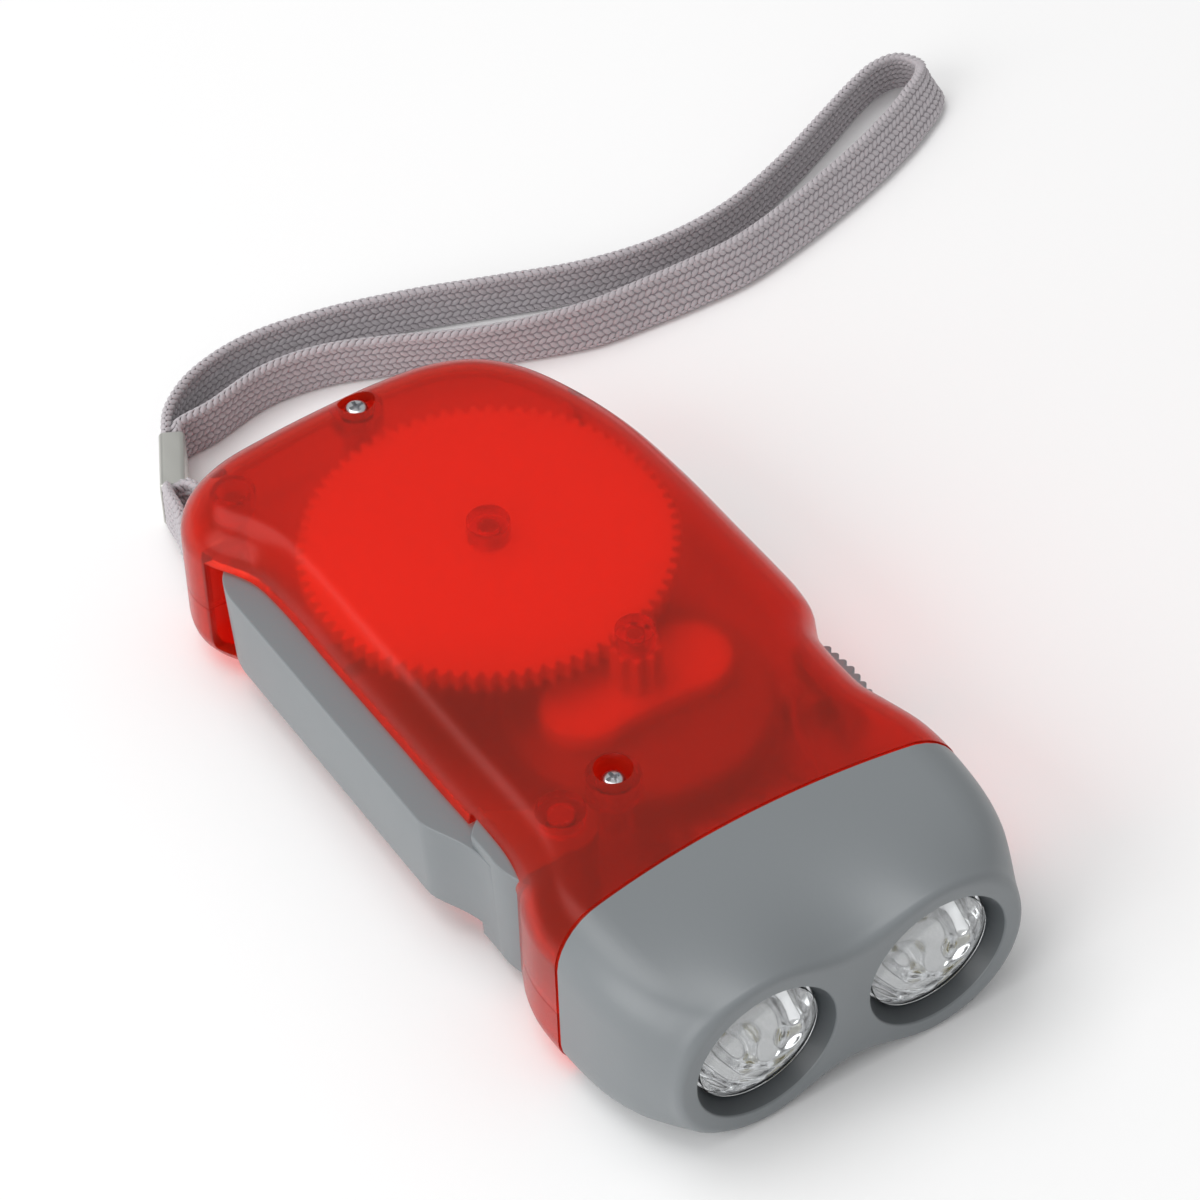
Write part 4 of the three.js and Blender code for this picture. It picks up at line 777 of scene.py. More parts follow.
def jointZone(name, offset):  # all that lies in front of the joint's arc
    h = housing
    reach = h["halfWidth"] * h["jointReach"]
    endY = h["jointY"] - h["jointSag"] * (reach / h["halfWidth"]) ** 2 + offset
    middleY = 2 * (h["jointY"] + offset) - endY
    points = [(-reach, -2 * h["frontReach"]), (reach, -2 * h["frontReach"])]
    for k in range(h["jointSteps"] + 1):
        t = k / h["jointSteps"]
        x = (1 - t) ** 2 * reach + t ** 2 * -reach
        y = (1 - t) ** 2 * endY + 2 * t * (1 - t) * middleY + t ** 2 * endY
        points.append((x, y))
    return slab(name, points, -h["over"], h["height"] + h["over"])


def jointGroove(name, startZ, faceZ):  # a shallow line round the housing beside the joint
    h = housing
    way = 1 if faceZ > startZ else -1
    depth = h["grooveDepth"]
    keep = roundedSlab(name + "Keep", depth, startZ, faceZ - way * depth, h["fillet"], h["filletSteps"])
    return combine(jointZone(name, h["grooveWidth"]), cuts=[keep])


lever = {
    "pivot": (-16.3, -19.7), "outerX": -28.57, "tipY": 40.98, "low": 5.0, "high": 18.6, "depth": 5.4,
    "toe": 6.0, "toeSteps": 14, "bend": 2.7, "bendSteps": 20, "wall": 1.6, "neckRadius": 9.2,
    "neckLow": 2.4, "neckHigh": 20.4, "neckSteps": 24, "neckToDeg": 209, "neckBlendDeg": 173,
    "blendStepDeg": 7, "blendPoints": 3, "barrelRadius": 4.2, "barrelLow": 6.8, "pinRadius": 1.5,
    "gap": 0.7, "windowLow": 4.0, "windowHigh": 19.1, "notchReach": 7.5, "webDegs": (250, 110),
    "gripStep": 8, "gripPoints": 5, "sides": 96,
    "neckShares": ((-1, 0.53), (-0.905, 0.64), (-0.8, 0.725), (-0.6, 0.75)),
    "topEdge": 0.16, "lowEdge": 0.7, "lean": 0.7, "arcModule": 0.8, "arcTeeth": 109, "arcLow": 14.5,
    "arcThickness": 2.6, "arcBand": 4.2, "arcEndDeg": 106, "arcSteps": 16, "spareTeeth": 2,
    "lastTooth": 3, "openDeg": 18, "ribCount": 5, "rib": 1.2,
}
gears = {
    "pinionTeeth": 10, "module": 0.6, "teeth": 76, "rotorTeeth": 9, "directionDeg": 67.9, "rotorDeg": -79.4,
    "low": 17.5, "thickness": 2.4, "axleRadius": 1.25, "rotorAxleRadius": 1.0, "running": 0.15,
    "webDepth": 0.7, "webTaper": 0.3, "rimWidth": 3.4, "hubRadius": 5.2, "pressureDeg": 25.0,
    "addendumShare": 0.8, "dedendumShare": 1.05, "backlash": 0.12, "flankShare": 0.4, "flankRoom": 0.05,
    "toothRoot": 0.25, "toothInset": 0.01, "sides": 128,
}
arcRadius = lever["arcModule"] * lever["arcTeeth"] / 2
gearReach = arcRadius + lever["arcModule"] * gears["pinionTeeth"] / 2
gearPlace = polar(lever["pivot"], gearReach, gears["directionDeg"])
gearRadius = gears["module"] * gears["teeth"] / 2
rotorPlace = polar(gearPlace, gearRadius + gears["module"] * gears["rotorTeeth"] / 2, gears["rotorDeg"])

screws = {
    "rear": (-1.1, 50.68), "front": (-8.4, -18.5), "rearZ": 23.5, "frontZ": 23.0, "headRadius": 1.5,
    "headHeight": 1.3, "headEdge": 0.1, "shankRadius": 0.8, "length": 14.0, "tip": 0.8, "tipShare": 0.3,
    "dome": 0.65, "domeShare": 0.45, "domeDegs": (20, 40, 60, 80, 90), "slotWidth": 0.5, "slotDepth": 0.7,
    "slotShare": 0.62, "slotOver": 1, "sides": 48, "recess": 2.35, "bossWall": 0.95, "narrowShare": 1.3,
    "axleShare": 1.5, "holeSides": 32, "tipRoom": 1.0, "pegs": ((23.2, 38.4, 1.4), (-20.7, 50.2, 0.9)),
    "post": (-21.2, 46.3), "postRadius": 1.4, "socket": 2.7,
}
switch = {
    "y": -14.1, "z": 12.0, "height": 7.6, "length": 9.9, "reach": 28.49, "knurls": 7, "knurlDepth": 0.55,
    "knurlShares": (0.1, 0.5, 0.9), "knurlSteps": 10, "crownShare": 0.25, "edge": 0.18, "plateLength": 11.4,
    "plateX": 26.19, "plateThickness": 2.4, "stem": 2.4,
}
slot = {"x": -21.4, "half": 3.8, "depth": 7.5}
narrowBoss = screws["shankRadius"] + screws["narrowShare"] * screws["bossWall"]
axleBoss = screws["axleShare"] * screws["bossWall"]


def leverWindow(name):
    v = lever
    innerX = v["pivot"][0] - v["barrelRadius"] + v["gap"]
    frontY, rearY = v["pivot"][1] - v["neckRadius"] / 2, v["tipY"] + v["gap"]
    return box(name, -2 * housing["halfWidth"], innerX, frontY, rearY, v["windowLow"], v["windowHigh"])


def neckNotch(name):
    v, h = lever, housing
    low, high = v["neckLow"] - v["gap"], v["neckHigh"] + v["gap"] / 2
    innerX, far = v["pivot"][0] - v["barrelRadius"], -2 * h["halfWidth"]
    side = box(name + "Side", far, innerX, -h["frontReach"], h["rearReach"], -h["over"], h["height"])
    corner = box(name + "Corner", far, innerX, v["pivot"][1], v["pivot"][1] + v["notchReach"], low, high)
    turning = rod(name, v["pivot"], v["neckRadius"] + v["gap"] / 2, low, high, v["sides"])
    return combine(combine(turning, shared=side), joins=[corner])


def switchOpening(name, startX, halfLong, halfTall):
    s = switch
    return box(name, startX, 2 * housing["halfWidth"], s["y"] - halfLong, s["y"] + halfLong,
               s["z"] - halfTall, s["z"] + halfTall)


def sharedOpenings():  # through both halves: lever window, neck, switch hole and seat, head
    s, g, w = switch, housing["gap"] / 2, housing["wall"]
    halfLong, halfTall = s["plateLength"] / 2, s["height"] / 2
    return [
        leverWindow("window"), neckNotch("notch"),
        switchOpening("switchHole", housing["halfWidth"] / 2, halfLong - w, halfTall - w),
        switchOpening("switchSeat", s["plateX"] - s["plateThickness"] - g, halfLong + g, halfTall + g),
        jointZone("joint", 0),
    ]


def pocketWall(name, low, high):  # closes the lever's window to the rear
    v, w = lever, housing["wall"]
    rear = v["tipY"] + v["gap"]
    innerX = v["outerX"] + v["depth"] + 2 * v["gap"]
    return box(name, -housing["halfWidth"], innerX, rear, rear + w, low, high)


def housingHalf(name, startZ, faceZ, innerStart, innerFace, lugs, holes, node):
    h = housing
    way = 1 if faceZ > startZ else -1
    base = roundedSlab(name, 0, startZ, faceZ, h["fillet"], h["filletSteps"])
    hollow = roundedSlab("hollow", h["wall"], innerStart, innerFace, h["fillet"] - h["wall"], h["innerSteps"])
    combine(base, cuts=[hollow])
    skinStart = startZ if way > 0 else h["height"]
    skin = roundedSlab("skin", h["skin"], skinStart, faceZ - way * h["skin"], h["fillet"], h["filletSteps"])
    lugs = combine(lugs[0], joins=lugs[1:], shared=skin)
    combine(base, joins=[lugs], cuts=holes)
    return dressed(base, red, "housing", [node])


def makeTopHousing():
    h, s, v, g = housing, screws, lever, gears
    gearTop = g["low"] + g["thickness"] + h["gap"]
    half = h["wall"] / 2
    wellWall = s["recess"] + s["bossWall"]
    wells = [  # place, height of the screw's head and start of the wide boss
        (s["rear"], s["rearZ"], gearTop),
        (s["front"], s["frontZ"], s["frontZ"] - s["headHeight"] - 2 * s["bossWall"]),
    ]
    pins = [  # place, radius, room round it, start of its boss and start of its hole
        (v["pivot"], v["pinRadius"], h["gap"] / 2, v["neckHigh"] + 2 * h["gap"], v["neckHigh"] - h["over"]),
        (gearPlace, g["axleRadius"], g["running"], gearTop, g["low"]),
        (rotorPlace, g["rotorAxleRadius"], g["running"], gearTop, g["low"]),
    ]
    lugs = []
    for place, _, start in wells:
        lugs.append(rod("boss", place, wellWall, start, ceiling + h["over"] / 2))
        lugs.append(rod("boss", place, narrowBoss, h["split"] + h["over"], ceiling))
    lugs += [rod("boss", place, radius + axleBoss, start, ceiling + half)
             for place, radius, _, start, _ in pins]
    lugs.append(pocketWall("pocket", h["split"], v["windowHigh"] + h["gap"]))
    socket = rod("socket", s["post"], s["socket"], ceiling - h["fillet"] / 2, ceiling + half)
    lugs.append(combine(socket, cuts=[rod("socketHole", s["post"], s["socket"] - half, 0, ceiling)]))
    lugs += [rod("peg", (x, y), radius, h["split"], ceiling + half, s["holeSides"])
             for x, y, radius in s["pegs"]]
    pinTop = ceiling - h["wall"] + h["gap"]
    holes = [rod("hole", place, s["recess"], z - s["headHeight"], h["height"] + h["over"])
             for place, z, _ in wells]
    holes += [rod("hole", place, s["shankRadius"] + h["gap"] / 2, h["split"], h["height"], s["holeSides"])
              for place, _, _ in wells]
    holes += [rod("hole", place, radius + room, start, pinTop, s["holeSides"])
              for place, radius, room, _, start in pins]
    holes += [*sharedOpenings(), jointGroove("groove", h["split"] - h["over"], h["height"])]
    return housingHalf("topHousing", h["split"], h["height"], h["split"] - h["over"], ceiling, lugs, holes,
                       "top_shell")


rotorGuard = {
    "radius": 17.4, "wall": 1.0, "height": 6.0, "leadDeg": 229, "leadHalf": 2.0, "bossTop": 2.6, "sides": 128,
}


def makeBottomHousing():
    h, s, v, g, r = housing, screws, lever, gears, rotorGuard
    top = h["split"] - h["seam"]
    half = h["wall"] / 2
    bossTop = h["split"] + h["over"] - h["gap"]
    heads = [(s["rear"], s["rearZ"]), (s["front"], s["frontZ"])]
    pins = [  # place, radius, room round it, end of its boss and start of its hole
        (v["pivot"], v["pinRadius"], h["gap"] / 2, v["neckLow"] - v["gap"] + h["gap"], half),
        (gearPlace, g["axleRadius"], h["seam"], v["arcLow"] - 2 * h["gap"], h["wall"]),
        (rotorPlace, g["rotorAxleRadius"], h["seam"], r["bossTop"], half),
    ]
    guard = rod("guard", rotorPlace, r["radius"] + r["wall"], half, h["wall"] + r["height"], r["sides"])
    lugs = [combine(guard, cuts=[rod("guardHole", rotorPlace, r["radius"], 0, h["height"], r["sides"])])]
    lugs += [rod("boss", place, narrowBoss, half, bossTop) for place, _ in heads]
    lugs += [rod("boss", place, radius + axleBoss, half, end) for place, radius, _, end, _ in pins]
    lugs.append(rod("boss", s["post"], s["postRadius"], half, ceiling - h["fillet"] / 4))
    lugs.append(pocketWall("pocket", half, top))
    lead = polar(rotorPlace, r["radius"], r["leadDeg"])
    w = r["leadHalf"]
    holes = [rod("hole", place, s["shankRadius"] + h["seam"],
                 z - s["headHeight"] - s["length"] - s["tipRoom"], h["height"], s["holeSides"])
             for place, z in heads]
    holes += [rod("hole", place, radius + room, start, h["height"], s["holeSides"])
              for place, radius, room, _, start in pins]
    holes += [
        box("slot", slot["x"] - slot["half"], slot["x"] + slot["half"], h["rearReach"] - slot["depth"],
            h["rearReach"] + h["over"], strap["tailLift"] - h["gap"],
            strap["tailLift"] + strap["width"] + 2 * h["gap"]),
        box("lead", lead.x - w, lead.x + w, lead.y - w, lead.y + w, h["wall"], h["wall"] + r["height"] / 2),
        *sharedOpenings(), jointGroove("groove", h["height"], 0),
    ]
    return housingHalf("bottomHousing", top, 0, h["split"] + h["over"], h["wall"], lugs, holes,
                       "bottom_shell")


print("housing halves")
outline = housingOutline()
makeTopHousing()
makeBottomHousing()


# Lamp head

head = {
    "lampSpacing": 23.4, "holeRadius": 9.4, "seatRadius": 8.3, "seatRoom": 0.3, "holeDepth": 12.0,
    "holeSides": 96, "rim": 2.6, "waist": 2.9, "wall": 1.9, "faceDepth": 2.7, "faceThickness": 1.3,
    "faceEdge": 0.9, "endSteps": 40, "rowSteps": 28, "curveSteps": 8, "holeEdge": 0.3,
    # the recess colour, start share and specular level paint shade onto the lamp recess walls
    "holeEdgeDegs": (30, 60, 90), "recessShadeColour": rgb(0.03, 0.036, 0.04), "recessShadeStart": 0.35,
    "recessShadeSpecular": 0.5,
}
headStations = [  # share of the way to the face, side draw-in, top draw-in, lobe share
    (0, 0, 0, 0), (0.3, 0.01, 0, 0.02), (0.52, 0.03, 0.01, 0.1), (0.7, 0.09, 0.02, 0.27),
    (0.83, 0.2, 0.03, 0.5), (0.93, 0.38, 0.05, 0.75), (0.985, 0.6, 0.07, 0.93), (1, 0.74, 0.09, 1),
]
faceY = -housing["frontReach"]


def boxCorner(boxX, halfH, corner, deg):  # where a ray from a lamp's axis leaves the rounded box
    c, s = abs(cosDeg(deg)), abs(sinDeg(deg))
    flatX, flatZ = boxX - corner, halfH - corner
    if s * boxX <= c * flatZ:
        return boxX, boxX * s / c
    if c * halfH <= s * flatX:
        return halfH * c / s, halfH
    along = c * flatX + s * flatZ
    reach = along + math.sqrt(along * along - flatX * flatX - flatZ * flatZ + corner * corner)
    return c * reach, s * reach


def headRing(y, side, top, lobeShare, pull):  # one section, between the rounded box and the two lobes
    d, h = head, housing
    lampX = d["lampSpacing"] / 2
    lobe = d["holeRadius"] + d["rim"] - pull
    boxX = h["halfWidth"] - side * h["fillet"] - pull - lampX
    halfH = middleZ - top * h["fillet"] - pull

    def mix(a, b):
        return a + (b - a) * lobeShare
    points = []
    for way in (1, -1):
        for i in range(d["endSteps"] + 1):
            deg = -90 + 180 * i / d["endSteps"]
            bx, bz = boxCorner(boxX, halfH, h["fillet"] - pull, deg)
            x = mix(bx, lobe * cosDeg(deg))
            z = mix(math.copysign(bz, sinDeg(deg)), lobe * sinDeg(deg))
            points.append(Vector((way * (lampX + x), y, middleZ + way * z)))
        for i in range(1, d["rowSteps"]):
            share = i / d["rowSteps"]
            z = mix(halfH, lobe - d["waist"] * math.sin(math.pi * share) ** 2)
            points.append(Vector((way * lampX * (1 - 2 * share), y, middleZ + way * z)))
    return points


def headStationCurve():
    rows = [Vector(row[:3]) for row in headStations]
    lobes = [Vector((row[0], row[3], 0)) for row in headStations]
    first, second = (centripetal(line, False, head["curveSteps"]) for line in (rows, lobes))
    return [(a[0], a[1], a[2], b[1]) for a, b in zip(first, second)]


def headLoft(name, startY, endY, draw, edge=0.0):
    rings = []
    for share, side, top, lobe in headStationCurve():
        y = startY + (endY - startY) * share
        near = max(0.0, 1 - (y - endY) / edge) if edge else 0.0
        pull = draw + edge * (1 - math.sqrt(1 - min(1.0, near) ** 2))
        rings.append(headRing(y, side, top, min(1.0, max(0.0, lobe)), pull))
    if edge:
        rings.append(headRing(endY, headStations[-1][1], headStations[-1][2], 1.0, loopShare * edge))
    return ringObject(name, rings)


def lampRing(x, y, radii):  # a ring that faces forward, with one radius for each of its points
    return [(x + r * math.cos(a), y, middleZ + r * math.sin(a)) for r, a in zip(radii, turns(len(radii)))]


def forward(profile, x, y, sides):  # rings about a lamp's axis, from radii and distances to the front
    return [lampRing(x, y - along, [radius] * sides) for radius, along in profile]


def lampHole(name, x):
    d = head
    e, deep, seat = d["holeEdge"], d["faceDepth"], d["seatRadius"]
    over, mouth = housing["over"], d["holeRadius"] + d["holeEdge"]
    profile = [(mouth + over, over), (mouth, 0.0)]
    profile += [(d["holeRadius"] + e * (1 - sinDeg(a)), -e * (1 - cosDeg(a))) for a in d["holeEdgeDegs"]]
    profile += [(seat, -deep), (seat + d["seatRoom"], -deep), (seat + d["seatRoom"], -d["holeDepth"])]
    return ringObject(name, forward(profile, x, faceY, d["holeSides"]))


def makePaintedRecessShade():  # painted shade on the lamp recess walls, darker towards the lens
    d = head
    material, graph = newMaterial("recessPaintedShade")
    startY = (shift.y + faceY) * mm
    along = graph.node("ShaderNodeSeparateXYZ", None, {"Vector": ownPlace(graph)}, "Y")
    depth = graph.node("ShaderNodeMapRange", None, {
        "Value": along, "From Min": startY, "From Max": startY + d["faceDepth"] * mm,
        "To Min": d["recessShadeStart"], "To Max": 1.0,
    })
    # painted shade: the wall colour blends towards near black deeper in the recess
    colour = blendColour(graph, depth, greyPlastic["dark"], d["recessShadeColour"])
    patches = grain(graph, moulding["patchScale"], moulding["detail"])
    look = {**greyPlastic, "specular": d["recessShadeSpecular"]}
    closeMaterial(graph, mouldedBody(graph, look, colour, patches))
    return material


def makeHead():
    h, d = housing, head
    startY = h["jointY"] + h["wall"]
    base = headLoft("headShell", startY, faceY, 0, d["faceEdge"])
    hollow = headLoft("hollow", startY + h["over"], faceY + d["faceDepth"] + d["faceThickness"], d["wall"])
    lampX = d["lampSpacing"] / 2
    lampHoles = [lampHole("left", -lampX), lampHole("right", lampX)]
    combine(base, cuts=[hollow, *lampHoles], shared=jointZone("joint", -h["seam"]))
    dressed(base, grey, "housing", ["head_bezel"], sharpDeg=28)
    # the lamp recess walls take the painted shade material
    base.data.materials.append(recessPaintedShade)
    for face in base.data.polygons:
        place = face.center / mm - shift
        inHole = math.hypot(abs(place.x) - lampX, place.z - middleZ) < d["holeRadius"]
        deep = d["holeEdge"] < place.y - faceY < d["faceDepth"] + h["wall"]
        face.material_index = 1 if inHole and deep else 0
    return base


print("lamp head")
recessPaintedShade = makePaintedRecessShade()
makeHead()


# Lamps: lens, waved reflector and diode

lens = {
    "thickness": 1.3, "crown": 0.9, "crownShares": (0.9, 0.8, 0.66, 0.5, 0.33, 0.16), "rimGap": 0.3,
    "edge": 0.1, "lift": 0.15, "sides": 96,
}
reflector = {
    "depth": 8.2, "throat": 2.8, "mouthGap": 0.6, "wall": 0.7, "stepShare": 0.4, "stepWidth": 0.05,
    "stepDepth": 0.3, "waves": 9, "rows": 5, "waveDepth": 0.32, "twist": 1.0, "twistTurn": 9, "sides": 180,
    "steps": 48, "backShares": (1.0, 0.6, 0.25, 0.0),
}
diode = {
    "radius": 2.5, "body": 4.6, "flange": 0.5, "flangeReach": 0.3, "domeDegs": range(8, 88, 8),
    "boardGap": 0.2, "sides": 64, "chipSides": 32,
}
chipProfile = [(axisGap, 1.6), (0.5, 1.6), (1.1, 2.5), (1.3, 2.5), (1.3, 0.9), (axisGap, 0.9)]
seatY = faceY + head["faceDepth"]
reflectorY = seatY + lens["thickness"] / 2 + reflector["depth"]


def makeLens(name, x, node):
    m, thick, e = lens, lens["thickness"], lens["edge"]
    radius, rim = head["seatRadius"] + thick / 2, head["seatRadius"] - m["rimGap"]
    profile = [(axisGap, 0.0), (radius - e, 0.0), (radius, e), (radius, thick / 2 - e),
               (rim, thick / 2 - e / 2), (rim, thick - m["lift"]), (rim - e / 2, thick)]
    profile += [(rim * s, thick + m["crown"] * (1 - s * s)) for s in m["crownShares"]]
    profile.append((axisGap, thick + m["crown"]))
    piece = ringObject(name, forward(profile, x, seatY - m["lift"] + thick / 2, m["sides"]))
    return dressed(piece, clearLens, "housing", [node], sharpDeg=30)


def makeReflector(name, x, node):
    m, start = reflector, reflector["stepShare"]
    reach = head["seatRadius"] - m["mouthGap"] - m["throat"]
    rings = []
    for k in range(m["steps"] + 1):
        share = k / m["steps"]
        radius = m["throat"] + reach * math.sqrt(share)
        step = math.exp(-((share - start) / m["stepWidth"]) ** 2)
        ripple = math.sin(math.pi * max(0.0, share - start) / (1 - start))
        twist = m["twist"] * math.cos(m["twistTurn"] * share)
        rowWave = math.cos(m["rows"] * math.pi * share)
        waves = [math.cos(m["waves"] * a + twist) * rowWave for a in turns(m["sides"])]
        radii = [radius - m["stepDepth"] * step - m["waveDepth"] * wave * ripple for wave in waves]
        rings.append(lampRing(x, reflectorY - share * m["depth"], radii))
    for share in m["backShares"]:
        radius = m["throat"] + reach * math.sqrt(share) + m["wall"]
        rings.append(lampRing(x, reflectorY - share * m["depth"], [radius] * m["sides"]))
    return dressed(ringObject(name, rings, wrap=True), mirror, "housing", [node], sharpDeg=60)


def makeDiode(name, x, node):
    m, r, wide = diode, diode["radius"], diode["radius"] + diode["flangeReach"]
    backY = reflectorY + m["flange"] + m["boardGap"]
    profile = [(axisGap, 0.0), (wide, 0.0), (wide, m["flange"]), (r, m["flange"]), (r, m["body"])]
    profile += [(r * cosDeg(a), m["body"] + r * sinDeg(a)) for a in m["domeDegs"]]
    profile.append((axisGap, m["body"] + r))
    piece = ringObject(name, forward(profile, x, backY, m["sides"]))
    dressed(piece, resin, "housing", [node], sharpDeg=40)
    chip = ringObject(name + "Chip", forward(chipProfile, x, backY, m["chipSides"]))
    return dressed(chip, phosphor, "housing", (), sharpDeg=40)


print("lamps")
for side, way in (("left", -1), ("right", 1)):
    lampAt = way * head["lampSpacing"] / 2
    makeLens("lens" + side.title(), lampAt, "lens_" + side)
    makeReflector("reflector" + side.title(), lampAt, "reflector_" + side)
    makeDiode("diode" + side.title(), lampAt, "led_" + side)


# Lever

def softPlate(name, points, low, high, topEdge, lowEdge=None, lean=0.0, steps=4):  # both faces' edges rounded
    flat = [Vector((p[0], p[1], 0)) for p in points]
    lowEdge = topEdge if lowEdge is None else lowEdge
    rings = [inset(flat, lean + lowEdge * loopShare, low)]
    for k in range(steps + 1):
        deg = 90 * k / steps
        rings.append(inset(flat, lean + lowEdge * (1 - sinDeg(deg)), low + lowEdge * (1 - cosDeg(deg))))
    for k in range(steps, -1, -1):
        deg = 90 * k / steps
        rings.append(inset(flat, topEdge * (1 - sinDeg(deg)), high - topEdge * (1 - cosDeg(deg))))
    rings.append(inset(flat, topEdge * loopShare, high))
    return ringObject(name, rings)


def quadratic(a, b, c, steps):
    shares = [k / steps for k in range(steps + 1)]
    return [Vector(a) * (1 - t) ** 2 + Vector(b) * 2 * t * (1 - t) + Vector(c) * t ** 2 for t in shares]


def cubic(a, b, c, d, steps):
    shares = [k / steps for k in range(steps + 1)]
    return [Vector(a) * (1 - t) ** 3 + Vector(b) * 3 * t * (1 - t) ** 2
            + Vector(c) * 3 * t ** 2 * (1 - t) + Vector(d) * t ** 3 for t in shares]


def leverOutline():
    v = lever
    outerX, innerX, tipY = v["outerX"], v["outerX"] + v["depth"], v["tipY"]
    bendY = v["pivot"][1] + v["neckRadius"] + v["bend"]
    neckEnd = polar(v["pivot"], v["neckRadius"], v["neckBlendDeg"])
    points = quadratic((innerX, tipY), (outerX + v["wall"] / 4, tipY), (outerX, tipY - v["toe"]),
                       v["toeSteps"])
    points += [Vector((outerX, bendY + k * v["gripStep"])) for k in range(v["gripPoints"], 0, -1)]
    points += cubic((outerX, bendY), (outerX, bendY - v["bend"]), (neckEnd.x, neckEnd.y + 2 * v["bend"]),
                    neckEnd, v["bendSteps"])
    steps = range(1, v["blendPoints"] + 1)
    hidden = [v["neckBlendDeg"] + k * v["blendStepDeg"] for k in steps]  # inside the neck
    points += [polar(v["pivot"], v["neckRadius"] - v["wall"] / 3, deg) for deg in hidden]
    points += [polar(v["pivot"], v["barrelRadius"] - v["wall"], hidden[-1]), Vector(v["pivot"])]
    points.append(Vector((innerX, bendY)))
    return points


def neckOutline():
    v = lever
    corners = [Vector((x, y)) * v["neckRadius"] + Vector(v["pivot"]) for x, y in v["neckShares"]]
    web = [polar(v["pivot"], v["barrelRadius"], d) for d in v["webDegs"]]
    turning = arcPoints(v["pivot"], v["neckRadius"], v["neckBlendDeg"], v["neckToDeg"], v["neckSteps"])
    return turning + web + corners[:0:-1] + corners[:1]


def toothPoints(teeth, module, toothDeg, first, last):
    g = gears
    pitch = module * teeth / 2
    base = pitch * cosDeg(g["pressureDeg"])
    tip, root = pitch + g["addendumShare"] * module, pitch - g["dedendumShare"] * module

    def involute(radius):
        angle = 0 if radius <= base else math.acos(base / radius)
        return math.tan(angle) - angle
    halfTooth = math.pi / (2 * teeth) - g["backlash"] / (2 * pitch)
    flank = [root, max(pitch - g["flankShare"] * module, root + g["flankRoom"]), pitch, tip]
    points = []
    for tooth in range(first, last + 1):
        middle = math.radians(toothDeg) + 2 * math.pi * tooth / teeth
        for side, radii in ((-1, flank), (1, flank[::-1])):
            points += [(r, middle + side * (halfTooth + involute(pitch) - involute(r))) for r in radii]
    return [Vector((r * math.cos(a), r * math.sin(a))) for r, a in points]


def toothedArc():
    v, g = lever, gears
    before = math.ceil(v["openDeg"] / (360 / v["arcTeeth"])) + v["spareTeeth"]
    teeth = toothPoints(v["arcTeeth"], v["arcModule"], g["directionDeg"], -before, v["lastTooth"])
    root = arcRadius - g["dedendumShare"] * v["arcModule"]
    startDeg, fromDeg = (math.degrees(math.atan2(p.y, p.x)) for p in (teeth[0], teeth[-1]))
    outer = arcPoints((0, 0), root, fromDeg, v["arcEndDeg"], v["arcSteps"])[1:]
    inner = arcPoints((0, 0), root - v["arcBand"], v["arcEndDeg"], startDeg, 2 * v["arcSteps"])
    ring = [Vector(v["pivot"]) + p for p in teeth + outer + inner]
    return slab("arc", ring, v["arcLow"], v["arcLow"] + v["arcThickness"])


def makeLever():
    v, h = lever, housing
    edges = (v["topEdge"], v["lowEdge"], v["lean"])
    grip = softPlate("squeezeLever", leverOutline(), v["low"], v["high"], *edges)
    innerX = v["outerX"] + v["depth"]
    start = v["pivot"][1] + v["neckRadius"] + v["toe"]
    pitch = (v["tipY"] - v["toe"] - start) / v["ribCount"]
    pockets = []
    for i in range(v["ribCount"]):
        pockets.append(box("pocket", v["outerX"] + v["wall"], innerX + h["over"], start + i * pitch,
                           start + (i + 1) * pitch - v["rib"], v["low"] + v["wall"], v["high"] - v["wall"]))
    combine(grip, cuts=pockets)
    neck = softPlate("neck", neckOutline(), v["neckLow"], v["neckHigh"], *edges)
    underRadius = v["neckRadius"] - v["wall"] - v["lean"]
    under = rod("under", v["pivot"], underRadius, v["neckLow"] - h["over"], v["barrelLow"], v["sides"])
    barrel = rod("barrel", v["pivot"], v["barrelRadius"], v["barrelLow"], v["neckHigh"])
    bore = rod("bore", v["pivot"], v["pinRadius"] + gears["running"], 0, h["height"])
    combine(grip, joins=[neck, barrel, toothedArc()], cuts=[bore, under])
    return dressed(grip, grey, "lever", ["squeeze_lever"], sharpDeg=30)


print("lever")
makeLever()


# Gear train

def toothTree():
    sockets = {"Tooth": "Object", "Teeth": "Int", "Finish": "Material"}
    tree, graph, given = newTree("toothRing", sockets)
    points = graph.node("GeometryNodeMeshLine", None, {"Count": given["Teeth"], "Offset": (0, 0, 0)})
    tooth = graph.node("GeometryNodeObjectInfo", None, {"Object": given["Tooth"]}, "Geometry")
    index = graph.node("GeometryNodeInputIndex")
    turn = graph.node("ShaderNodeCombineXYZ", None, {2: index * 2 * math.pi / given["Teeth"]})
    spread = {"Points": points, "Instance": tooth, "Rotation": turn}
    placed = graph.node("GeometryNodeInstanceOnPoints", None, spread)
    both = tree.nodes.new("GeometryNodeJoinGeometry")
    for part in (placed, given["Geometry"]):
        tree.links.new(part.socket, both.inputs[0])
    real = graph.node("GeometryNodeRealizeInstances", None, {"Geometry": Wire(graph, both.outputs[0])})
    painted = graph.node("GeometryNodeSetMaterial", None, {"Geometry": real, "Material": given["Finish"]})
    graph.node("NodeGroupOutput", None, {"Geometry": painted})
    return tree


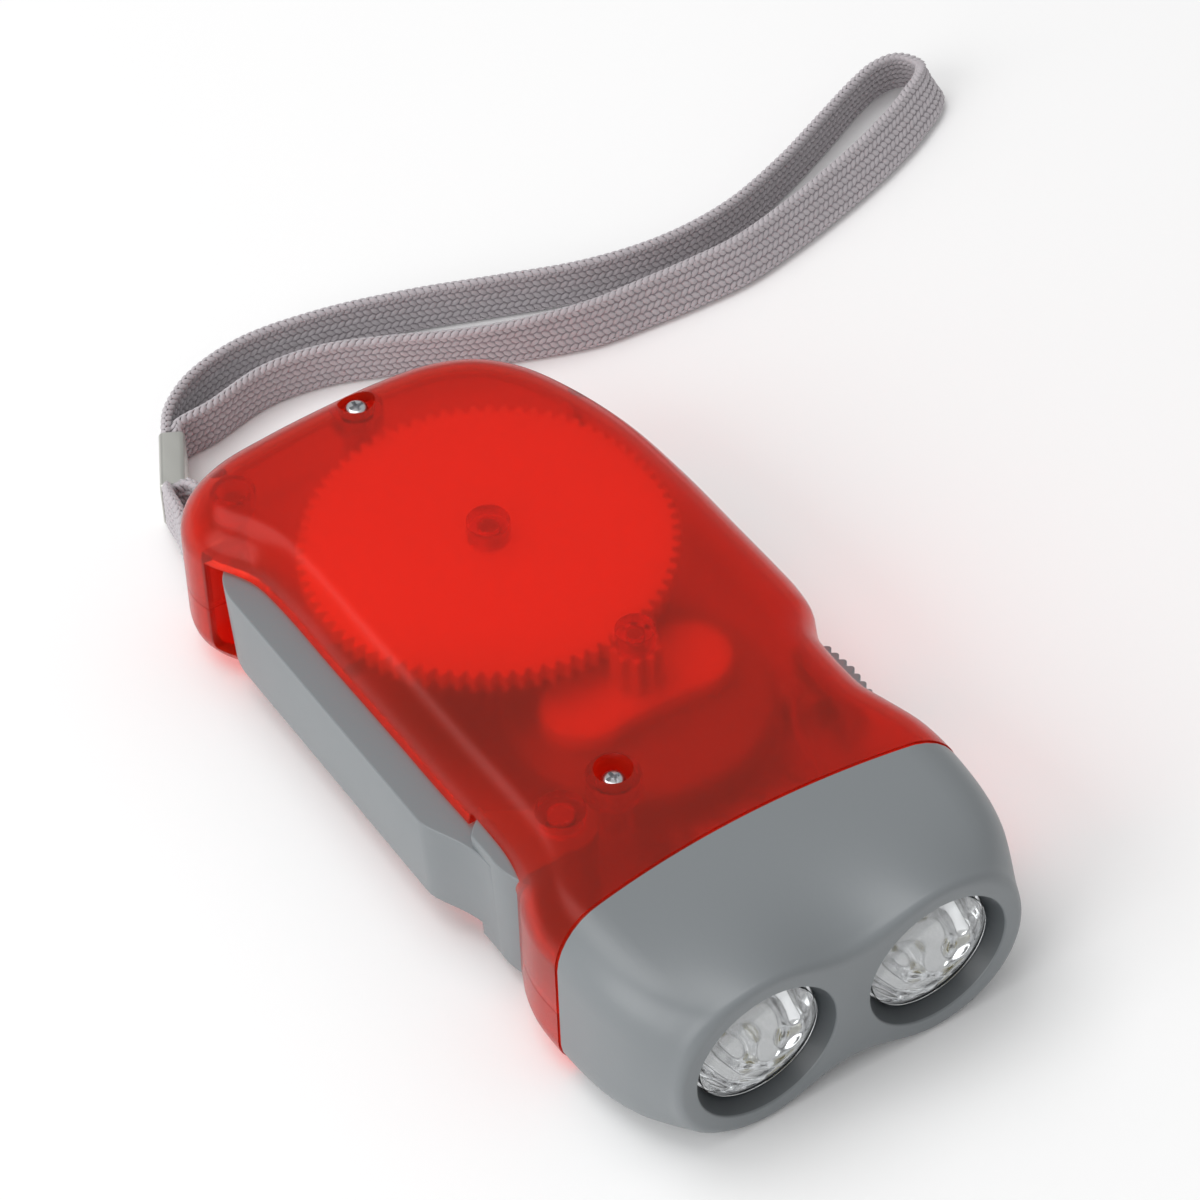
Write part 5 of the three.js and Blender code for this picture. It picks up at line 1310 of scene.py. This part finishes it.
def toothedWheel(name, teeth, module, toothDeg, low, high, profile, node):
    g = gears
    shape = toothPoints(teeth, module, toothDeg, 0, 0)
    inner = module * teeth / 2 - g["dedendumShare"] * module - g["toothRoot"]
    shape += [end * (inner / end.length) for end in (shape[-1], shape[0])]
    heights = (low + g["toothInset"], high - g["toothInset"])
    tooth = ringObject(name + "Tooth", [[(p.x, p.y, z) for p in shape] for z in heights], moved=False)
    wheel = ringObject(name, upright(profile, (0, 0), g["sides"]), wrap=True, moved=False)
    runTree(wheel, toothRing, {"Tooth": tooth, "Teeth": teeth, "Finish": white})
    bpy.data.objects.remove(tooth)
    wheel.data.transform(Matrix.Translation(Vector((gearPlace.x + shift.x, gearPlace.y + shift.y, 0)) * mm))
    return dressed(wheel, white, "gear", [node], sharpDeg=30)


def makeGearTrain():
    g = gears
    low, top = g["low"], g["low"] + g["thickness"]
    root = gearRadius - g["dedendumShare"] * g["module"]
    rim = gearRadius - g["module"] - g["rimWidth"]
    bore = g["axleRadius"] + g["running"]
    hub, web, taper = g["hubRadius"], low + g["webDepth"], g["webTaper"]
    wheel = [(bore, low), (hub, low), (hub + taper, web), (rim - taper, web), (rim, low), (root, low),
             (root, top), (bore, top)]
    toothedWheel("driveGear", g["teeth"], g["module"], g["rotorDeg"], low, top, wheel, "drive_gear")
    arcLow = lever["arcLow"] - housing["gap"]
    pinionTop = low - housing["gap"] / 2
    pinionRoot = lever["arcModule"] * (g["pinionTeeth"] / 2 - g["dedendumShare"])
    pinion = [(bore, arcLow), (pinionRoot, arcLow), (pinionRoot, pinionTop), (bore, pinionTop)]
    meshDeg = g["directionDeg"] + 180 + 180 / g["pinionTeeth"]
    toothedWheel("drivePinion", g["pinionTeeth"], lever["arcModule"], meshDeg, arcLow, pinionTop, pinion,
                 "drive_pinion")


rotor = {
    "radius": 16.5, "low": 3.6, "crownLow": 9.4, "high": 11.4, "rim": 3.0, "edge": 0.4, "lobeReach": 12.7,
    "lobeRadius": 5.4, "lobeWaist": 9.8, "lobeThickness": 2.7, "lobeSteps": 48, "lobeEdge": 0.25,
    "sides": 128,
}


def makeRotor():
    r, g, gap = rotor, gears, housing["gap"]
    boreRadius = g["rotorAxleRadius"] + g["running"]
    sleeveRadius = boreRadius + screws["bossWall"]
    cupBore, e, outer, inner = sleeveRadius + gap / 2, r["edge"], r["radius"], r["radius"] - r["rim"]
    cup = [(cupBore, r["crownLow"]), (inner, r["crownLow"]), (inner, r["low"]), (outer - e, r["low"]),
           (outer, r["low"] + e), (outer, r["high"] - e), (outer - e, r["high"]), (cupBore, r["high"])]
    cupPiece = ringObject("rotorCup", upright(cup, rotorPlace, r["sides"]), wrap=True)
    dressed(cupPiece, darkSteel, "rotor", ["rotor_cup"])
    plateLow = r["high"] + gap / 3
    plateHigh = plateLow + r["lobeThickness"]
    reach = r["lobeReach"] - r["lobeRadius"]
    start = math.degrees(math.asin(r["lobeWaist"] / 2 / r["lobeRadius"]))
    x, y = rotorPlace
    lobes = arcPoints((x + reach, y), r["lobeRadius"], -180 + start, 180 - start, r["lobeSteps"])
    lobes += arcPoints((x - reach, y), r["lobeRadius"], start, 360 - start, r["lobeSteps"])
    hub = softPlate("rotorHub", lobes, plateLow, plateHigh, r["lobeEdge"])
    sleeve = rod("sleeve", rotorPlace, sleeveRadius, r["crownLow"] - gap, plateHigh)
    meshDeg = g["rotorDeg"] + 180 + 180 / g["rotorTeeth"]
    teeth = toothPoints(g["rotorTeeth"], g["module"], meshDeg, 0, g["rotorTeeth"] - 1)
    pinion = slab("pinion", [p + rotorPlace for p in teeth], plateLow, g["low"] + g["thickness"] + gap / 3)
    bore = rod("bore", rotorPlace, boreRadius, 0, housing["height"], screws["holeSides"])
    combine(hub, joins=[sleeve, pinion], cuts=[bore])
    dressed(hub, white, "rotor", ["rotor_hub"])


print("gear train")
toothRing = toothTree()
makeGearTrain()
makeRotor()


# Screws and switch

def makeScrew(name, place, headZ, node):
    s, r, e = screws, screws["headRadius"], screws["headEdge"]
    seat = headZ - s["headHeight"]
    tipZ, domeZ = seat - s["length"], headZ - s["dome"]
    profile = [(axisGap, tipZ), (s["shankRadius"] * s["tipShare"], tipZ), (s["shankRadius"], tipZ + s["tip"]),
               (s["shankRadius"], seat + e), (r - e, seat + e), (r, seat + 2 * e), (r, domeZ)]
    for a in s["domeDegs"]:
        reach = r * cosDeg(a) * s["domeShare"] + r * (1 - s["domeShare"])
        profile.append((reach, domeZ + s["dome"] * sinDeg(a)))
    profile.append((axisGap, headZ))
    base = ringObject(name, upright(profile, place, s["sides"]))
    x, y = place
    arm, half = r * s["slotShare"], s["slotWidth"] / 2
    low, high = headZ - s["slotDepth"], headZ + s["slotOver"]
    slots = [box("slot", x - a, x + a, y - b, y + b, low, high) for a, b in ((arm, half), (half, arm))]
    combine(base, cuts=slots)
    return dressed(base, steel, "housing", [node])


def makeSwitch():
    s, gap = switch, housing["gap"]
    innerX = s["plateX"] + gap / 2
    startY = s["y"] - s["length"] / 2
    rowX = s["reach"] - s["knurlDepth"]
    pitch = s["length"] / s["knurls"]
    points = [Vector((innerX, startY))]
    for i in range(s["knurls"]):
        crown = rowX - abs(i - (s["knurls"] - 1) / 2) * s["knurlDepth"] * s["crownShare"]
        peak = crown + 2 * s["knurlDepth"]
        fromY, midY, toY = (startY + (i + share) * pitch for share in s["knurlShares"])
        points += quadratic((crown, fromY), (peak, midY), (crown, toY), s["knurlSteps"])
    points.append(Vector((innerX, startY + s["length"])))
    half = s["height"] / 2 - gap
    knob = softPlate("switchKnob", points, s["z"] - half, s["z"] + half, s["edge"])
    stemX, w = s["plateX"] - s["plateThickness"] - housing["wall"], s["stem"] / 2
    stem = box("stem", stemX, innerX + gap, s["y"] - w, s["y"] + w, s["z"] - w, s["z"] + w)
    combine(knob, joins=[stem])
    dressed(knob, grey, "switch", ["switch_knob"])


print("screws and switch")
makeScrew("rearScrew", screws["rear"], screws["rearZ"], "rear_screw")
makeScrew("frontScrew", screws["front"], screws["frontZ"], "front_screw")
makeSwitch()


# Finishes of the carried-over parts

carried = {
    steel: ["lever_pin", "lever_spring", "gear_axle", "rotor_axle", "lower_pole", "upper_pole", "cell_1",
            "cell_2", "cell_3", "cell_contact_left", "cell_contact_right", "switch_block"],
    white: ["coil_bobbin"], copper: ["coil_winding"], darkSteel: ["ring_magnet"], boardGreen: ["led_board"],
    grey: ["switch_plate"], leadBlack: ["coil_lead"], leadRed: ["cell_lead", "board_lead"],
}
for material, names in carried.items():
    for name in names:
        target = frame["nodes"][name]
        target.data.materials.clear()
        target.data.materials.append(material)

print("done")
